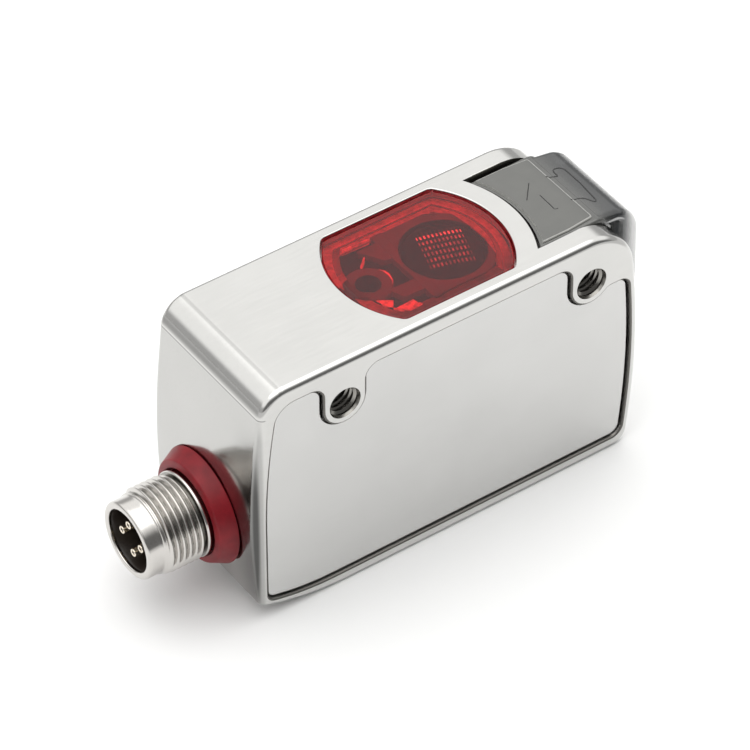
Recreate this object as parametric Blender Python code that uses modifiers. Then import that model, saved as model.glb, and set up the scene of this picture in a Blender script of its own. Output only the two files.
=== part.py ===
"""Laser photoelectric sensor: steel housing, red front window, smoked cap and M8 plug.

Everything is placed from the first fixing hole: X runs along the body towards the cap, Y across it and
Z up from the holes' level. One empty then moves the whole part onto its bottom centre.
"""
import math

import bmesh
import bpy
from mathutils import Matrix, Vector

MM = 0.001

# General clearances and mesh fineness.
FIT = 0.25 * MM
OVERCUT = 1.0 * MM
CHORD_ERROR = 0.015 * MM
WELD = 0.001 * MM
TURNED_STEPS = 32
SMALL_STEPS = 16
LARGE_STEPS = 96
PIN_STEPS = 8

# Housing. The end faces bow outwards, and the back rises towards the plug end as a heel.
HOLE_PITCH = 25.4 * MM
BODY_WIDTH = 15.0 * MM
TOP_LEVEL = 4.6 * MM
BACK_LEVEL = -20.75 * MM
PLUG_FACE = -9.27 * MM
CAP_END_LENGTH = 5.32 * MM
END_BOW_RADIUS = 78.0 * MM
END_BOW_LEVEL = -9.75 * MM
END_BOW_MARGIN = 0.1 * MM
PLUG_TOP_RADIUS = 2.7 * MM
CAP_TOP_RADIUS = 5.0 * MM
CAP_BACK_RADIUS = 1.6 * MM
PLUG_BACK_RADIUS = 0.9 * MM
HEEL_START = 0.3 * MM
HEEL_RADIUS = 24.0 * MM
HEEL_RUN = 7.814 * MM
SIDE_EDGE_RADIUS = 0.6 * MM

# M3 fixing holes through the width, plain at the thread's core.
HOLE_RADIUS = 1.25 * MM
HOLE_CHAMFER = 0.3 * MM

# Side pockets and the covers in them.
RIM_TOP = 1.75 * MM
RIM_BACK = 1.25 * MM
RIM_CAP_END = 0.85 * MM
RIM_PLUG_END = 1.34 * MM
POCKET_CORNER = 2.0 * MM
POCKET_SMALL_CORNER = 1.1 * MM
POCKET_LEAN = math.radians(9.0)
POCKET_LEAN_LEVEL = -5.0 * MM
POCKET_LEAN_RADIUS = 70.0 * MM
POCKET_SHOULDER_LEVEL = -1.25 * MM
POCKET_HEEL_START = -1.1 * MM
POCKET_HEEL_RADIUS = 23.5 * MM
POCKET_HEEL_RUN = 5.884 * MM
EAR_RADIUS = 2.15 * MM
EAR_FILLET = 1.3 * MM
EAR_SHOULDER_FILLET = 0.9 * MM
EAR_LEAVING_ANGLE = math.radians(45.0)
COVER_THICKNESS = 0.8 * MM
COVER_RECESS = 0.3 * MM
COVER_LEDGE = 0.7 * MM

# Front window, a tray turned upside down in a recess of the top face.
WINDOW_HOLE_GAP = 4.68 * MM
WINDOW_SIDE_WALL = 1.35 * MM
WINDOW_BOW_RADIUS = 8.98 * MM
WINDOW_SEAM = 0.2 * MM
WINDOW_RECESS = 0.15 * MM
WINDOW_HEIGHT = 1.25 * MM
WINDOW_PLATE = 0.75 * MM
WINDOW_RIM = 0.75 * MM
WINDOW_LEDGE = 0.9 * MM

# Smoked cap in its channel over the cap end.
CHANNEL_SIDE_WALL = 2.15 * MM
CHANNEL_ARC_RADIUS = 10.9 * MM
CHANNEL_DEPTH = 2.0 * MM
CHANNEL_END_DEPTH = 0.82 * MM
CAP_TOP_DROP = 0.3 * MM
CAP_RIDGE_LENGTH = 2.2 * MM
CAP_OVERHANG = 1.68 * MM
CAP_NOSE_DROP = 1.1 * MM
CAP_NOSE_RADIUS = 1.5 * MM
CAP_FOOT_LEVEL = -5.2 * MM
CAP_FOOT_RADIUS = 0.8 * MM
CAP_INNER_RADIUS = 0.6 * MM
CAP_EDGE_RADIUS = 0.4 * MM
CAP_SIDE_WALL = 1.3 * MM
CAP_POCKET_DEPTH = 1.0 * MM
CAP_POCKET_TOP = 1.5 * MM
CAP_POCKET_FLOOR = -4.6 * MM

# Optics under the window, placed and sized as shares of the holder's half length.
HOLDER_HOLE_GAP = 3.9 * MM
RECEIVER_SHARE = 0.2955
EMITTER_SHARE = 0.58
LENS_SHARE = 0.4035
BARREL_SHARE = 0.2615
HOLDER_SIDE_GAP = 0.8 * MM
HOLDER_BOTTOM = -8.85 * MM
HOLDER_TOP = 3.4 * MM
LENS_SEAT_WIDTH = 0.55 * MM
LENS_EDGE = 0.35 * MM
LENS_CROWN = 0.4 * MM
LENS_CROWN_ANGLES = (0, 30, 60, 90)
APERTURE_RADIUS = 1.1 * MM
APERTURE_LENGTH = 1.9 * MM
BARREL_WALL = 0.45 * MM
BARREL_STEP = 0.55 * MM
BARREL_LENGTH = 6.3 * MM
BARREL_LENS_DEPTH = 1.3 * MM
BARREL_WAIST_LENGTH = 1.5 * MM
EMITTER_LENS_THICKNESS = 0.8 * MM
DIODE_HEADER_THICKNESS = 1.2 * MM
DIODE_CAN_HEIGHT = 1.1 * MM
DIODE_PIN_RADIUS = 0.2 * MM
DIODE_PIN_CIRCLE = 0.9 * MM
DIODE_PIN_COUNT = 3

# Boards and the parts on them.
BOARD_THICKNESS = 0.8 * MM
BOARD_CORNER = 0.5 * MM
PIN_WINDOW_RADIUS = 1.4 * MM
PIN_STICK_OUT = 0.2 * MM
RECEIVER_CHIP_SHARES = (1.33, 1.13)
RECEIVER_CHIP_HEIGHT = 1.0 * MM
SCREW_RADIUS = 0.7 * MM
SCREW_HEAD_RADIUS = 1.3 * MM
SCREW_HEAD_HEIGHT = 0.7 * MM
SCREW_LENGTH = 3.2 * MM
SCREW_REACH = 3.3 * MM
SCREW_INSET = 1.4 * MM
MAIN_BOARD_THICKNESS = 1.0 * MM
LINK_HEADER_SIZE = (12.0 * MM, 3.0 * MM, 1.0 * MM)
CHIP_LEVEL = -15.0 * MM
PROCESSOR_SIZE = (6.0 * MM, 1.0 * MM, 6.0 * MM)
PROCESSOR_OFFSET = -4.7 * MM
DRIVER_SIZE = (4.0 * MM, 0.9 * MM, 4.0 * MM)
DRIVER_OFFSET = 4.3 * MM
LED_BOARD_SETBACK = 3.3 * MM
LED_BOARD_SIDE_GAP = 1.9 * MM
LED_BOARD_TOP = -3.1 * MM
LED_BOARD_BOTTOM = -15.5 * MM
LED_SIZE = (0.65 * MM, 1.4 * MM, 0.8 * MM)
LED_SPREAD = 1.3 * MM
LED_LEVEL = -3.6 * MM
GUIDE_HALF_WIDTH = 2.35 * MM
GUIDE_HALF_HEIGHT = 1.0 * MM
GUIDE_LEVEL = -3.35 * MM

# M8 plug. Its lengths are measured outwards from the plug end face.
PLUG_LEVEL = -12.35 * MM
PLUG_LENGTH = 7.78 * MM
PLUG_BORE = 2.9 * MM
PLUG_CHAMFER = 0.15 * MM
COLLAR_RADIUS = 3.57 * MM
THREAD_RADIUS = 3.95 * MM
THREAD_START = 2.63 * MM
THREAD_END = 6.13 * MM
THREAD_CHAMFER = 0.25 * MM
RELIEF_RADIUS = 3.35 * MM
FLANGE_RADIUS = 3.98 * MM
FLANGE_TOP = 2.15 * MM
FLANGE_BOTTOM = 1.15 * MM
TAIL_RADIUS = 3.6 * MM
TAIL_BORE = 2.3 * MM
TAIL_LENGTH = 4.5 * MM
GROOVE_RADIUS = 3.0 * MM
GROOVE_TOP = -0.35 * MM
GROOVE_BOTTOM = -1.45 * MM
HOUSING_PLUG_HOLE = 3.9 * MM
ORING_SECTION = 0.24 * MM
RING_BASE_RADIUS = 5.4 * MM
RING_FACE_RADIUS = 5.15 * MM
RING_FACE = 1.55 * MM
RING_COUNTERBORE = 4.2 * MM
INSERT_FACE = 3.2 * MM
INSERT_BOTTOM = -1.0 * MM
CONTACT_RADIUS = 0.45 * MM
CONTACT_HOLE = 0.65 * MM
CONTACT_TIP = 7.4 * MM
CONTACT_TIP_CHAMFER = 0.22 * MM
CONTACT_CIRCLE = 1.4 * MM
CONTACT_ANGLES = (75, 0, 260, 180)
NUT_ACROSS_FLATS = 9.4 * MM
NUT_THICKNESS = 1.6 * MM
PLUG_BOARD_RADIUS = 4.2 * MM

# Values worked out from the sizes above.
HALF_WIDTH = BODY_WIDTH / 2
COVER_INNER = HALF_WIDTH - COVER_RECESS - COVER_THICKNESS
POCKET_FLOOR = COVER_INNER - FIT
CAP_FACE = HOLE_PITCH + CAP_END_LENGTH
CAP_BOW_HALF = TOP_LEVEL - END_BOW_LEVEL - CAP_TOP_RADIUS - END_BOW_MARGIN
POCKET_BOW_HALF = POCKET_SHOULDER_LEVEL - END_BOW_LEVEL - POCKET_SMALL_CORNER - END_BOW_MARGIN
HEEL_ANGLE = math.asin(HEEL_RUN / HEEL_RADIUS)
POCKET_HEEL_ANGLE = math.asin(POCKET_HEEL_RUN / POCKET_HEEL_RADIUS)
POCKET_TOP = TOP_LEVEL - RIM_TOP
POCKET_BACK = BACK_LEVEL + RIM_BACK
CAVITY_CEILING = POCKET_TOP - COVER_LEDGE
CAVITY_FLOOR = POCKET_BACK + COVER_LEDGE
CAVITY_PLUG_WALL = PLUG_FACE + RIM_PLUG_END + COVER_LEDGE
WINDOW_CENTRE = HOLE_PITCH / 2
WINDOW_HALF_LENGTH = WINDOW_CENTRE - WINDOW_HOLE_GAP
WINDOW_HALF_WIDTH = HALF_WIDTH - WINDOW_SIDE_WALL
WINDOW_TOP = TOP_LEVEL - WINDOW_RECESS
WINDOW_SEAT = WINDOW_TOP - WINDOW_HEIGHT - FIT
WINDOW_BOW_CENTRE = WINDOW_CENTRE + WINDOW_HALF_LENGTH - WINDOW_BOW_RADIUS
CHANNEL_HALF_WIDTH = HALF_WIDTH - CHANNEL_SIDE_WALL
CHANNEL_FLOOR = TOP_LEVEL - CHANNEL_DEPTH
CHANNEL_END = CAP_FACE - CHANNEL_END_DEPTH
CAP_TOP = TOP_LEVEL - CAP_TOP_DROP
CAP_RIDGE = HOLE_PITCH + CAP_RIDGE_LENGTH
CAP_END = CAP_FACE + CAP_OVERHANG
CAP_INNER = CHANNEL_END + FIT
CAP_HALF_WIDTH = CHANNEL_HALF_WIDTH - FIT
CAP_POCKET_HALF_WIDTH = CAP_HALF_WIDTH - CAP_SIDE_WALL
HOLDER_HALF_LENGTH = WINDOW_CENTRE - HOLDER_HOLE_GAP
HOLDER_HALF_WIDTH = COVER_INNER - HOLDER_SIDE_GAP
HOLDER_SHOULDER = CAVITY_CEILING - FIT
RECEIVER_X = WINDOW_CENTRE + HOLDER_HALF_LENGTH * RECEIVER_SHARE
EMITTER_X = WINDOW_CENTRE - HOLDER_HALF_LENGTH * EMITTER_SHARE
LENS_RADIUS = HOLDER_HALF_LENGTH * LENS_SHARE
RECEIVER_BORE = LENS_RADIUS - LENS_SEAT_WIDTH
RECEIVER_CHIP_SIZE = (*[RECEIVER_BORE * share for share in RECEIVER_CHIP_SHARES], RECEIVER_CHIP_HEIGHT)
BARREL_RADIUS = HOLDER_HALF_LENGTH * BARREL_SHARE
BARREL_BORE = BARREL_RADIUS - BARREL_WALL
BARREL_WAIST = BARREL_BORE - BARREL_STEP
SCREW_X = EMITTER_X + SCREW_REACH
SCREW_Y = HOLDER_HALF_WIDTH - SCREW_INSET
LENS_BOTTOM = HOLDER_TOP - LENS_CROWN - LENS_EDGE
BARREL_TOP = HOLDER_TOP - APERTURE_LENGTH - FIT
BARREL_WAIST_TOP = BARREL_TOP - BARREL_LENS_DEPTH
BARREL_WAIST_BOTTOM = BARREL_WAIST_TOP - BARREL_WAIST_LENGTH
DIODE_SEAT = BARREL_WAIST_BOTTOM - FIT
OPTICS_BOARD_TOP = HOLDER_BOTTOM - FIT
OPTICS_BOARD_BOTTOM = OPTICS_BOARD_TOP - BOARD_THICKNESS
HEADER_TOP = OPTICS_BOARD_BOTTOM - FIT
HEADER_BOTTOM = HEADER_TOP - LINK_HEADER_SIZE[2]
MAIN_BOARD_TOP = HEADER_BOTTOM - FIT
MAIN_BOARD_BOTTOM = CAVITY_FLOOR + FIT
PROCESSOR_X = WINDOW_CENTRE + PROCESSOR_OFFSET
DRIVER_X = WINDOW_CENTRE + DRIVER_OFFSET
LED_BOARD_X = CHANNEL_END - LED_BOARD_SETBACK
LED_BOARD_HALF_WIDTH = COVER_INNER - LED_BOARD_SIDE_GAP
LED_FACE = LED_BOARD_X + BOARD_THICKNESS + FIT
GUIDE_START = LED_FACE + LED_SIZE[0] + FIT
GUIDE_END = CAP_INNER + CAP_POCKET_DEPTH - FIT
PLUG_BOARD_X = PLUG_FACE + TAIL_LENGTH + FIT
CONTACT_END = -(TAIL_LENGTH + FIT + BOARD_THICKNESS + PIN_STICK_OUT)
MAIN_BOARD_START = PLUG_FACE - CONTACT_END + FIT
MAIN_BOARD_END = LED_BOARD_X - FIT


def make_collection(name):
    """A new collection linked to the scene."""
    collection = bpy.data.collections.new(name)
    bpy.context.scene.collection.children.link(collection)
    return collection


def make_material(name, colour, roughness, metallic=0.0, transmission=0.0):
    """A Principled material in one colour."""
    material = bpy.data.materials.new(name)
    material.use_nodes = True
    shader = material.node_tree.nodes["Principled BSDF"]
    shader.inputs["Base Color"].default_value = (*colour, 1.0)
    shader.inputs["Roughness"].default_value = roughness
    shader.inputs["Metallic"].default_value = metallic
    shader.inputs["Transmission Weight"].default_value = transmission
    return material


def rounded(corners):
    """Closed outline whose corners (x, y, radius) are rounded by tangent arcs."""
    points = []
    for index, (x, y, radius) in enumerate(corners):
        corner = Vector((x, y))
        back = (Vector(corners[index - 1][:2]) - corner).normalized()
        ahead = (Vector(corners[(index + 1) % len(corners)][:2]) - corner).normalized()
        if radius == 0:
            points.append(corner)
            continue
        turn = math.pi - back.angle(ahead)
        centre = corner + (back + ahead).normalized() * radius / math.cos(turn / 2)
        start = corner + back * radius * math.tan(turn / 2) - centre
        sense = -math.copysign(1.0, back.cross(ahead))
        steps = max(2, math.ceil(turn / (2 * math.acos(1 - CHORD_ERROR / radius))))
        for step in range(steps + 1):
            points.append(centre + Matrix.Rotation(sense * turn * step / steps, 2) @ start)
    return [p for i, p in enumerate(points) if (p - points[i - 1]).length > WELD]


def inset(outline, distance):
    """The outline moved inwards by a distance all round."""
    following = outline[1:] + outline[:1]
    area = sum(a.cross(b) for a, b in zip(outline, following))
    side = math.copysign(1.0, area)
    moved = []
    for before, point, after in zip(outline[-1:] + outline[:-1], outline, following):
        arriving = (point - before).normalized()
        leaving = (after - point).normalized()
        first = Vector((-arriving.y, arriving.x)) * side
        second = Vector((-leaving.y, leaving.x)) * side
        middle = (first + second).normalized()
        moved.append(point + middle * distance / middle.dot(first))
    return moved


def rectangle(low, high, radius=0.0):
    """Rectangle between two corners, rounded where a radius is given."""
    (x0, y0), (x1, y1) = low, high
    return rounded([(x0, y0, radius), (x1, y0, radius), (x1, y1, radius), (x0, y1, radius)])


def circle(centre, radius, steps):
    """Regular outline round a centre."""
    angles = [math.tau * step / steps for step in range(steps)]
    return [Vector(centre) + Vector((math.cos(a), math.sin(a))) * radius for a in angles]


def end_x(face, outwards, level, half):
    """Where the straight flank of a bowed end face lies at a level."""
    lean = math.atan(half / END_BOW_RADIUS)
    crest = END_BOW_RADIUS / math.cos(lean) - END_BOW_RADIUS
    return face + outwards * (crest - abs(level - END_BOW_LEVEL) * math.tan(lean))


def housing_outline():
    """Side view of the housing."""
    heel_x = HEEL_START - HEEL_RADIUS * math.tan(HEEL_ANGLE / 2)
    rise = math.tan(HEEL_ANGLE)
    foot_level = BACK_LEVEL + (heel_x - PLUG_FACE) * rise
    plug_half = END_BOW_LEVEL - foot_level - PLUG_BACK_RADIUS - END_BOW_MARGIN
    lean = plug_half / END_BOW_RADIUS
    crest_x = end_x(PLUG_FACE, -1, END_BOW_LEVEL, plug_half)
    flank_x = crest_x + (END_BOW_LEVEL - BACK_LEVEL - rise * heel_x) * lean
    foot_x = flank_x / (1 - rise * lean)
    foot_z = BACK_LEVEL + (heel_x - foot_x) * rise
    return rounded([
        (end_x(PLUG_FACE, -1, TOP_LEVEL, plug_half), TOP_LEVEL, PLUG_TOP_RADIUS),
        (end_x(CAP_FACE, 1, TOP_LEVEL, CAP_BOW_HALF), TOP_LEVEL, CAP_TOP_RADIUS),
        (end_x(CAP_FACE, 1, END_BOW_LEVEL, CAP_BOW_HALF), END_BOW_LEVEL, END_BOW_RADIUS),
        (end_x(CAP_FACE, 1, BACK_LEVEL, CAP_BOW_HALF), BACK_LEVEL, CAP_BACK_RADIUS),
        (heel_x, BACK_LEVEL, HEEL_RADIUS),
        (foot_x, foot_z, PLUG_BACK_RADIUS),
        (crest_x, END_BOW_LEVEL, END_BOW_RADIUS),
    ])


def pocket_outline():
    """Side view of a side pocket, which runs round an ear at each fixing hole."""
    left = PLUG_FACE + RIM_PLUG_END
    right = CAP_FACE - RIM_CAP_END
    shoulder_x = end_x(right, 1, POCKET_SHOULDER_LEVEL, POCKET_BOW_HALF)
    crest_x = end_x(right, 1, END_BOW_LEVEL, POCKET_BOW_HALF)
    back_x = end_x(right, 1, POCKET_BACK, POCKET_BOW_HALF)
    corner_x = left + (POCKET_TOP - POCKET_LEAN_LEVEL) * math.tan(POCKET_LEAN)
    leave_x = HOLE_PITCH + EAR_RADIUS * math.tan(EAR_LEAVING_ANGLE / 2)
    climb = (POCKET_SHOULDER_LEVEL + EAR_RADIUS) / math.tan(EAR_LEAVING_ANGLE)
    heel_x = POCKET_HEEL_START - POCKET_HEEL_RADIUS * math.tan(POCKET_HEEL_ANGLE / 2)
    foot_z = POCKET_BACK + (heel_x - left) * math.tan(POCKET_HEEL_ANGLE)
    return rounded([
        (corner_x, POCKET_TOP, POCKET_CORNER),
        (-EAR_RADIUS, POCKET_TOP, EAR_FILLET),
        (-EAR_RADIUS, -EAR_RADIUS, EAR_RADIUS),
        (EAR_RADIUS, -EAR_RADIUS, EAR_RADIUS),
        (EAR_RADIUS, POCKET_TOP, EAR_FILLET),
        (HOLE_PITCH - EAR_RADIUS, POCKET_TOP, EAR_FILLET),
        (HOLE_PITCH - EAR_RADIUS, -EAR_RADIUS, EAR_RADIUS),
        (leave_x, -EAR_RADIUS, EAR_RADIUS),
        (leave_x + climb, POCKET_SHOULDER_LEVEL, EAR_SHOULDER_FILLET),
        (shoulder_x, POCKET_SHOULDER_LEVEL, POCKET_SMALL_CORNER),
        (crest_x, END_BOW_LEVEL, END_BOW_RADIUS),
        (back_x, POCKET_BACK, POCKET_SMALL_CORNER),
        (heel_x, POCKET_BACK, POCKET_HEEL_RADIUS),
        (left, foot_z, EAR_SHOULDER_FILLET),
        (left, POCKET_LEAN_LEVEL, POCKET_LEAN_RADIUS),
    ])


def window_outline():
    """Top view of the window recess: straight sides and two bowed ends."""
    spread = math.asin(WINDOW_HALF_WIDTH / WINDOW_BOW_RADIUS)
    steps = math.ceil(spread / math.acos(1 - CHORD_ERROR / WINDOW_BOW_RADIUS))
    offset = WINDOW_HALF_LENGTH - WINDOW_BOW_RADIUS
    points = []
    for outwards in (1, -1):
        for step in range(steps + 1):
            angle = outwards * spread * (2 * step / steps - 1) * outwards
            reach = Vector((math.cos(angle), math.sin(angle))) * WINDOW_BOW_RADIUS * outwards
            points.append(Vector((WINDOW_CENTRE + outwards * offset, 0)) + reach)
    return points


def channel_outline():
    """Top view of the cap's channel, whose inner end follows the window's bow."""
    spread = math.asin(CHANNEL_HALF_WIDTH / CHANNEL_ARC_RADIUS)
    steps = math.ceil(spread / math.acos(1 - CHORD_ERROR / CHANNEL_ARC_RADIUS))
    points = []
    for step in range(steps + 1):
        angle = spread * (2 * step / steps - 1)
        reach = Vector((math.cos(angle), math.sin(angle))) * CHANNEL_ARC_RADIUS
        points.append(Vector((WINDOW_BOW_CENTRE, 0)) + reach)
    far_x = CAP_END + OVERCUT
    return points + [Vector((far_x, CHANNEL_HALF_WIDTH)), Vector((far_x, -CHANNEL_HALF_WIDTH))]


PLANE_TURNS = {"XY": (0, 0, 0), "XZ": (math.pi / 2, 0, 0), "YZ": (math.pi / 2, 0, math.pi / 2)}
PLANE_NORMALS = {"XY": Vector((0, 0, 1)), "XZ": Vector((0, 1, 0)), "YZ": Vector((1, 0, 0))}


def extruded(name, outline, low, high, plane):
    """A flat outline with thickness: a filled curve turned into a closed mesh."""
    curve = bpy.data.curves.new(name, "CURVE")
    curve.dimensions = "2D"
    curve.fill_mode = "BOTH"
    curve.extrude = (high - low) / 2
    spline = curve.splines.new("POLY")
    spline.points.add(len(outline) - 1)
    for point, place in zip(spline.points, outline):
        point.co = (place.x, place.y, 0, 1)
    spline.use_cyclic_u = True
    guide = bpy.data.objects.new(name + "_curve", curve)
    guide.location = PLANE_NORMALS[plane] * (low + high) / 2
    guide.rotation_euler = PLANE_TURNS[plane]
    bpy.context.scene.collection.objects.link(guide)
    bpy.context.view_layer.update()
    evaluated = guide.evaluated_get(bpy.context.evaluated_depsgraph_get())
    mesh = bpy.data.meshes.new_from_object(evaluated)
    mesh.name = name
    shape = bmesh.new()
    shape.from_mesh(mesh)
    bmesh.ops.remove_doubles(shape, verts=shape.verts, dist=WELD)
    bmesh.ops.dissolve_limit(shape, angle_limit=math.radians(0.2), verts=shape.verts, edges=shape.edges)
    bmesh.ops.recalc_face_normals(shape, faces=shape.faces)
    if shape.calc_volume(signed=True) < 0:
        bmesh.ops.reverse_faces(shape, faces=shape.faces)
    shape.to_mesh(mesh)
    shape.free()
    piece = bpy.data.objects.new(name, mesh)
    piece.matrix_world = guide.matrix_world
    bpy.data.objects.remove(guide)
    bpy.data.curves.remove(curve)
    return piece


def box(name, low, high):
    """A box between two opposite corners."""
    mesh = bpy.data.meshes.new(name)
    shape = bmesh.new()
    bmesh.ops.create_cube(shape, size=1.0)
    bmesh.ops.scale(shape, vec=Vector(high) - Vector(low), verts=shape.verts)
    shape.to_mesh(mesh)
    shape.free()
    piece = bpy.data.objects.new(name, mesh)
    piece.location = (Vector(high) + Vector(low)) / 2
    return piece


def centred_box(name, centre, size):
    """A box of a size about its centre."""
    half = Vector(size) / 2
    return box(name, Vector(centre) - half, Vector(centre) + half)


AXIS_TURNS = {"Z": (0, 0, 0), "Y": (math.pi / 2, 0, 0), "-X": (0, -math.pi / 2, 0)}


def turned(name, profile, at, axis="Z", closed=False, steps=TURNED_STEPS):
    """A turned piece: a profile of (radius, height) swept round its axis."""
    mesh = bpy.data.meshes.new(name)
    edges = [(i, i + 1) for i in range(len(profile) - 1)]
    if closed:
        edges.append((len(profile) - 1, 0))
    mesh.from_pydata([(radius, 0, height) for radius, height in profile], edges, [])
    piece = bpy.data.objects.new(name, mesh)
    piece.location = at
    piece.rotation_euler = AXIS_TURNS[axis]
    screw = piece.modifiers.new("turn", "SCREW")
    screw.steps = steps
    screw.render_steps = steps
    screw.use_merge_vertices = True
    screw.merge_threshold = WELD
    screw.use_smooth_shade = True
    return piece


def cylinder(name, radius, low, high, at, axis="Z", steps=TURNED_STEPS):
    """A plain turned cylinder between two heights."""
    return turned(name, [(0, high), (radius, high), (radius, low), (0, low)], at, axis, steps=steps)


def bevel(piece, width, segments, angle=60):
    """Round the edges that are sharper than an angle."""
    modifier = piece.modifiers.new("edges", "BEVEL")
    modifier.width = width
    modifier.segments = segments
    modifier.limit_method = "ANGLE"
    modifier.angle_limit = math.radians(angle)
    modifier.use_clamp_overlap = False


class Assembly:
    """Collects the parts and cutters and hangs them all on one empty."""

    def __init__(self):
        self.parts = make_collection("laser_photoelectric_sensor")
        self.cutters = make_collection("cutters")
        self.base = bpy.data.objects.new("bottom_centre", None)
        self.base.location = (-(CAP_END + PLUG_FACE - PLUG_LENGTH) / 2, 0, -BACK_LEVEL)
        self.parts.objects.link(self.base)

    def part(self, piece, material):
        """File a piece as a node with its material."""
        self.parts.objects.link(piece)
        piece.parent = self.base
        piece.data.materials.append(material)
        if piece.data.polygons:
            piece.data.shade_smooth()
            piece.data.set_sharp_from_angle(angle=math.radians(35))
        return piece

    def cut(self, piece, tool, operation="DIFFERENCE"):
        """Cut a tool out of a piece, or join it on."""
        self.cutters.objects.link(tool)
        tool.parent = self.base
        tool.hide_render = True
        tool.display_type = "WIRE"
        modifier = piece.modifiers.new(tool.name, "BOOLEAN")
        modifier.operation = operation
        modifier.object = tool


def build_housing(kit, steel):
    """One-piece housing with pockets, cavity, window recess, cap channel and holes."""
    housing = kit.part(extruded("housing", housing_outline(), -HALF_WIDTH, HALF_WIDTH, "XZ"), steel)
    bevel(housing, SIDE_EDGE_RADIUS, 3)
    pocket = pocket_outline()
    outside = HALF_WIDTH + OVERCUT
    kit.cut(housing, extruded("near_pocket", pocket, -outside, -POCKET_FLOOR, "XZ"))
    kit.cut(housing, extruded("far_pocket", pocket, POCKET_FLOOR, outside, "XZ"))
    reach = POCKET_FLOOR + FIT
    kit.cut(housing, extruded("cavity", inset(pocket, COVER_LEDGE), -reach, reach, "XZ"))
    window = window_outline()
    kit.cut(housing, extruded("window_recess", window, WINDOW_SEAT, TOP_LEVEL + OVERCUT, "XY"))
    opening = inset(window, WINDOW_LEDGE)
    kit.cut(housing, extruded("window_opening", opening, CAVITY_CEILING - FIT, WINDOW_SEAT + FIT, "XY"))
    kit.cut(housing, extruded("cap_channel", channel_outline(), CHANNEL_FLOOR, TOP_LEVEL + OVERCUT, "XY"))
    kit.cut(housing, box("cap_channel_end",
                         (CHANNEL_END, -CHANNEL_HALF_WIDTH, CAP_FOOT_LEVEL - FIT),
                         (CAP_END + OVERCUT, CHANNEL_HALF_WIDTH, TOP_LEVEL + OVERCUT)))
    kit.cut(housing, box("guide_opening",
                         (GUIDE_START, -GUIDE_HALF_WIDTH - FIT, GUIDE_LEVEL - GUIDE_HALF_HEIGHT - FIT),
                         (CAP_END, GUIDE_HALF_WIDTH + FIT, GUIDE_LEVEL + GUIDE_HALF_HEIGHT + FIT)))
    kit.cut(housing, cylinder("plug_hole", HOUSING_PLUG_HOLE, -PLUG_FACE - RIM_PLUG_END - OVERCUT,
                              -PLUG_FACE + OVERCUT, (0, 0, PLUG_LEVEL), "-X"))
    wide = HOLE_RADIUS + HOLE_CHAMFER + OVERCUT
    deep = HALF_WIDTH - HOLE_CHAMFER
    profile = [(0, outside), (wide, outside), (HOLE_RADIUS, deep),
               (HOLE_RADIUS, -deep), (wide, -outside), (0, -outside)]
    for number, x in enumerate((0, HOLE_PITCH), 1):
        kit.cut(housing, turned(f"fixing_hole_{number}", profile, (x, 0, 0), "Y"))


def build_covers(kit, steel):
    """A flat plate in the pocket of each side."""
    plate = inset(pocket_outline(), FIT)
    outer = HALF_WIDTH - COVER_RECESS
    inner = outer - COVER_THICKNESS
    kit.part(extruded("near_side_cover", plate, -outer, -inner, "XZ"), steel)
    kit.part(extruded("far_side_cover", plate, inner, outer, "XZ"), steel)


def build_window(kit, red_clear):
    """Red tray-shaped window."""
    outline = inset(window_outline(), WINDOW_SEAM)
    bottom = WINDOW_TOP - WINDOW_HEIGHT
    window = kit.part(extruded("front_window", outline, bottom, WINDOW_TOP, "XY"), red_clear)
    hollow = inset(outline, WINDOW_RIM)
    kit.cut(window, extruded("window_hollow", hollow, bottom - OVERCUT, WINDOW_TOP - WINDOW_PLATE, "XY"))


def build_cap(kit, smoke):
    """Smoked cap: a lid over the channel that turns down over the end."""
    start = WINDOW_BOW_CENTRE + math.sqrt(CHANNEL_ARC_RADIUS ** 2 - CAP_HALF_WIDTH ** 2) - OVERCUT
    bottom = CHANNEL_FLOOR + FIT
    outline = rounded([
        (start, CAP_TOP, 0),
        (CAP_RIDGE, CAP_TOP, CAP_NOSE_RADIUS),
        (CAP_END, TOP_LEVEL - CAP_NOSE_DROP, CAP_NOSE_RADIUS),
        (CAP_END, CAP_FOOT_LEVEL, CAP_FOOT_RADIUS),
        (CAP_INNER, CAP_FOOT_LEVEL, 0),
        (CAP_INNER, bottom, CAP_INNER_RADIUS),
        (start, bottom, 0),
    ])
    cap = kit.part(extruded("indicator_cap", outline, -CAP_HALF_WIDTH, CAP_HALF_WIDTH, "XZ"), smoke)
    bevel(cap, CAP_EDGE_RADIUS, 2)
    kit.cut(cap, cylinder("cap_arc", CHANNEL_ARC_RADIUS + FIT, bottom - OVERCUT, TOP_LEVEL + OVERCUT,
                          (WINDOW_BOW_CENTRE, 0, 0), steps=LARGE_STEPS))
    kit.cut(cap, box("cap_pocket",
                     (CAP_INNER - OVERCUT, -CAP_POCKET_HALF_WIDTH, CAP_POCKET_FLOOR),
                     (CAP_INNER + CAP_POCKET_DEPTH, CAP_POCKET_HALF_WIDTH, CAP_POCKET_TOP)))


def screw_places():
    """Where the two optics screws stand, at opposite corners."""
    return [(SCREW_X, SCREW_Y), (SCREW_X, -SCREW_Y)]


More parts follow.
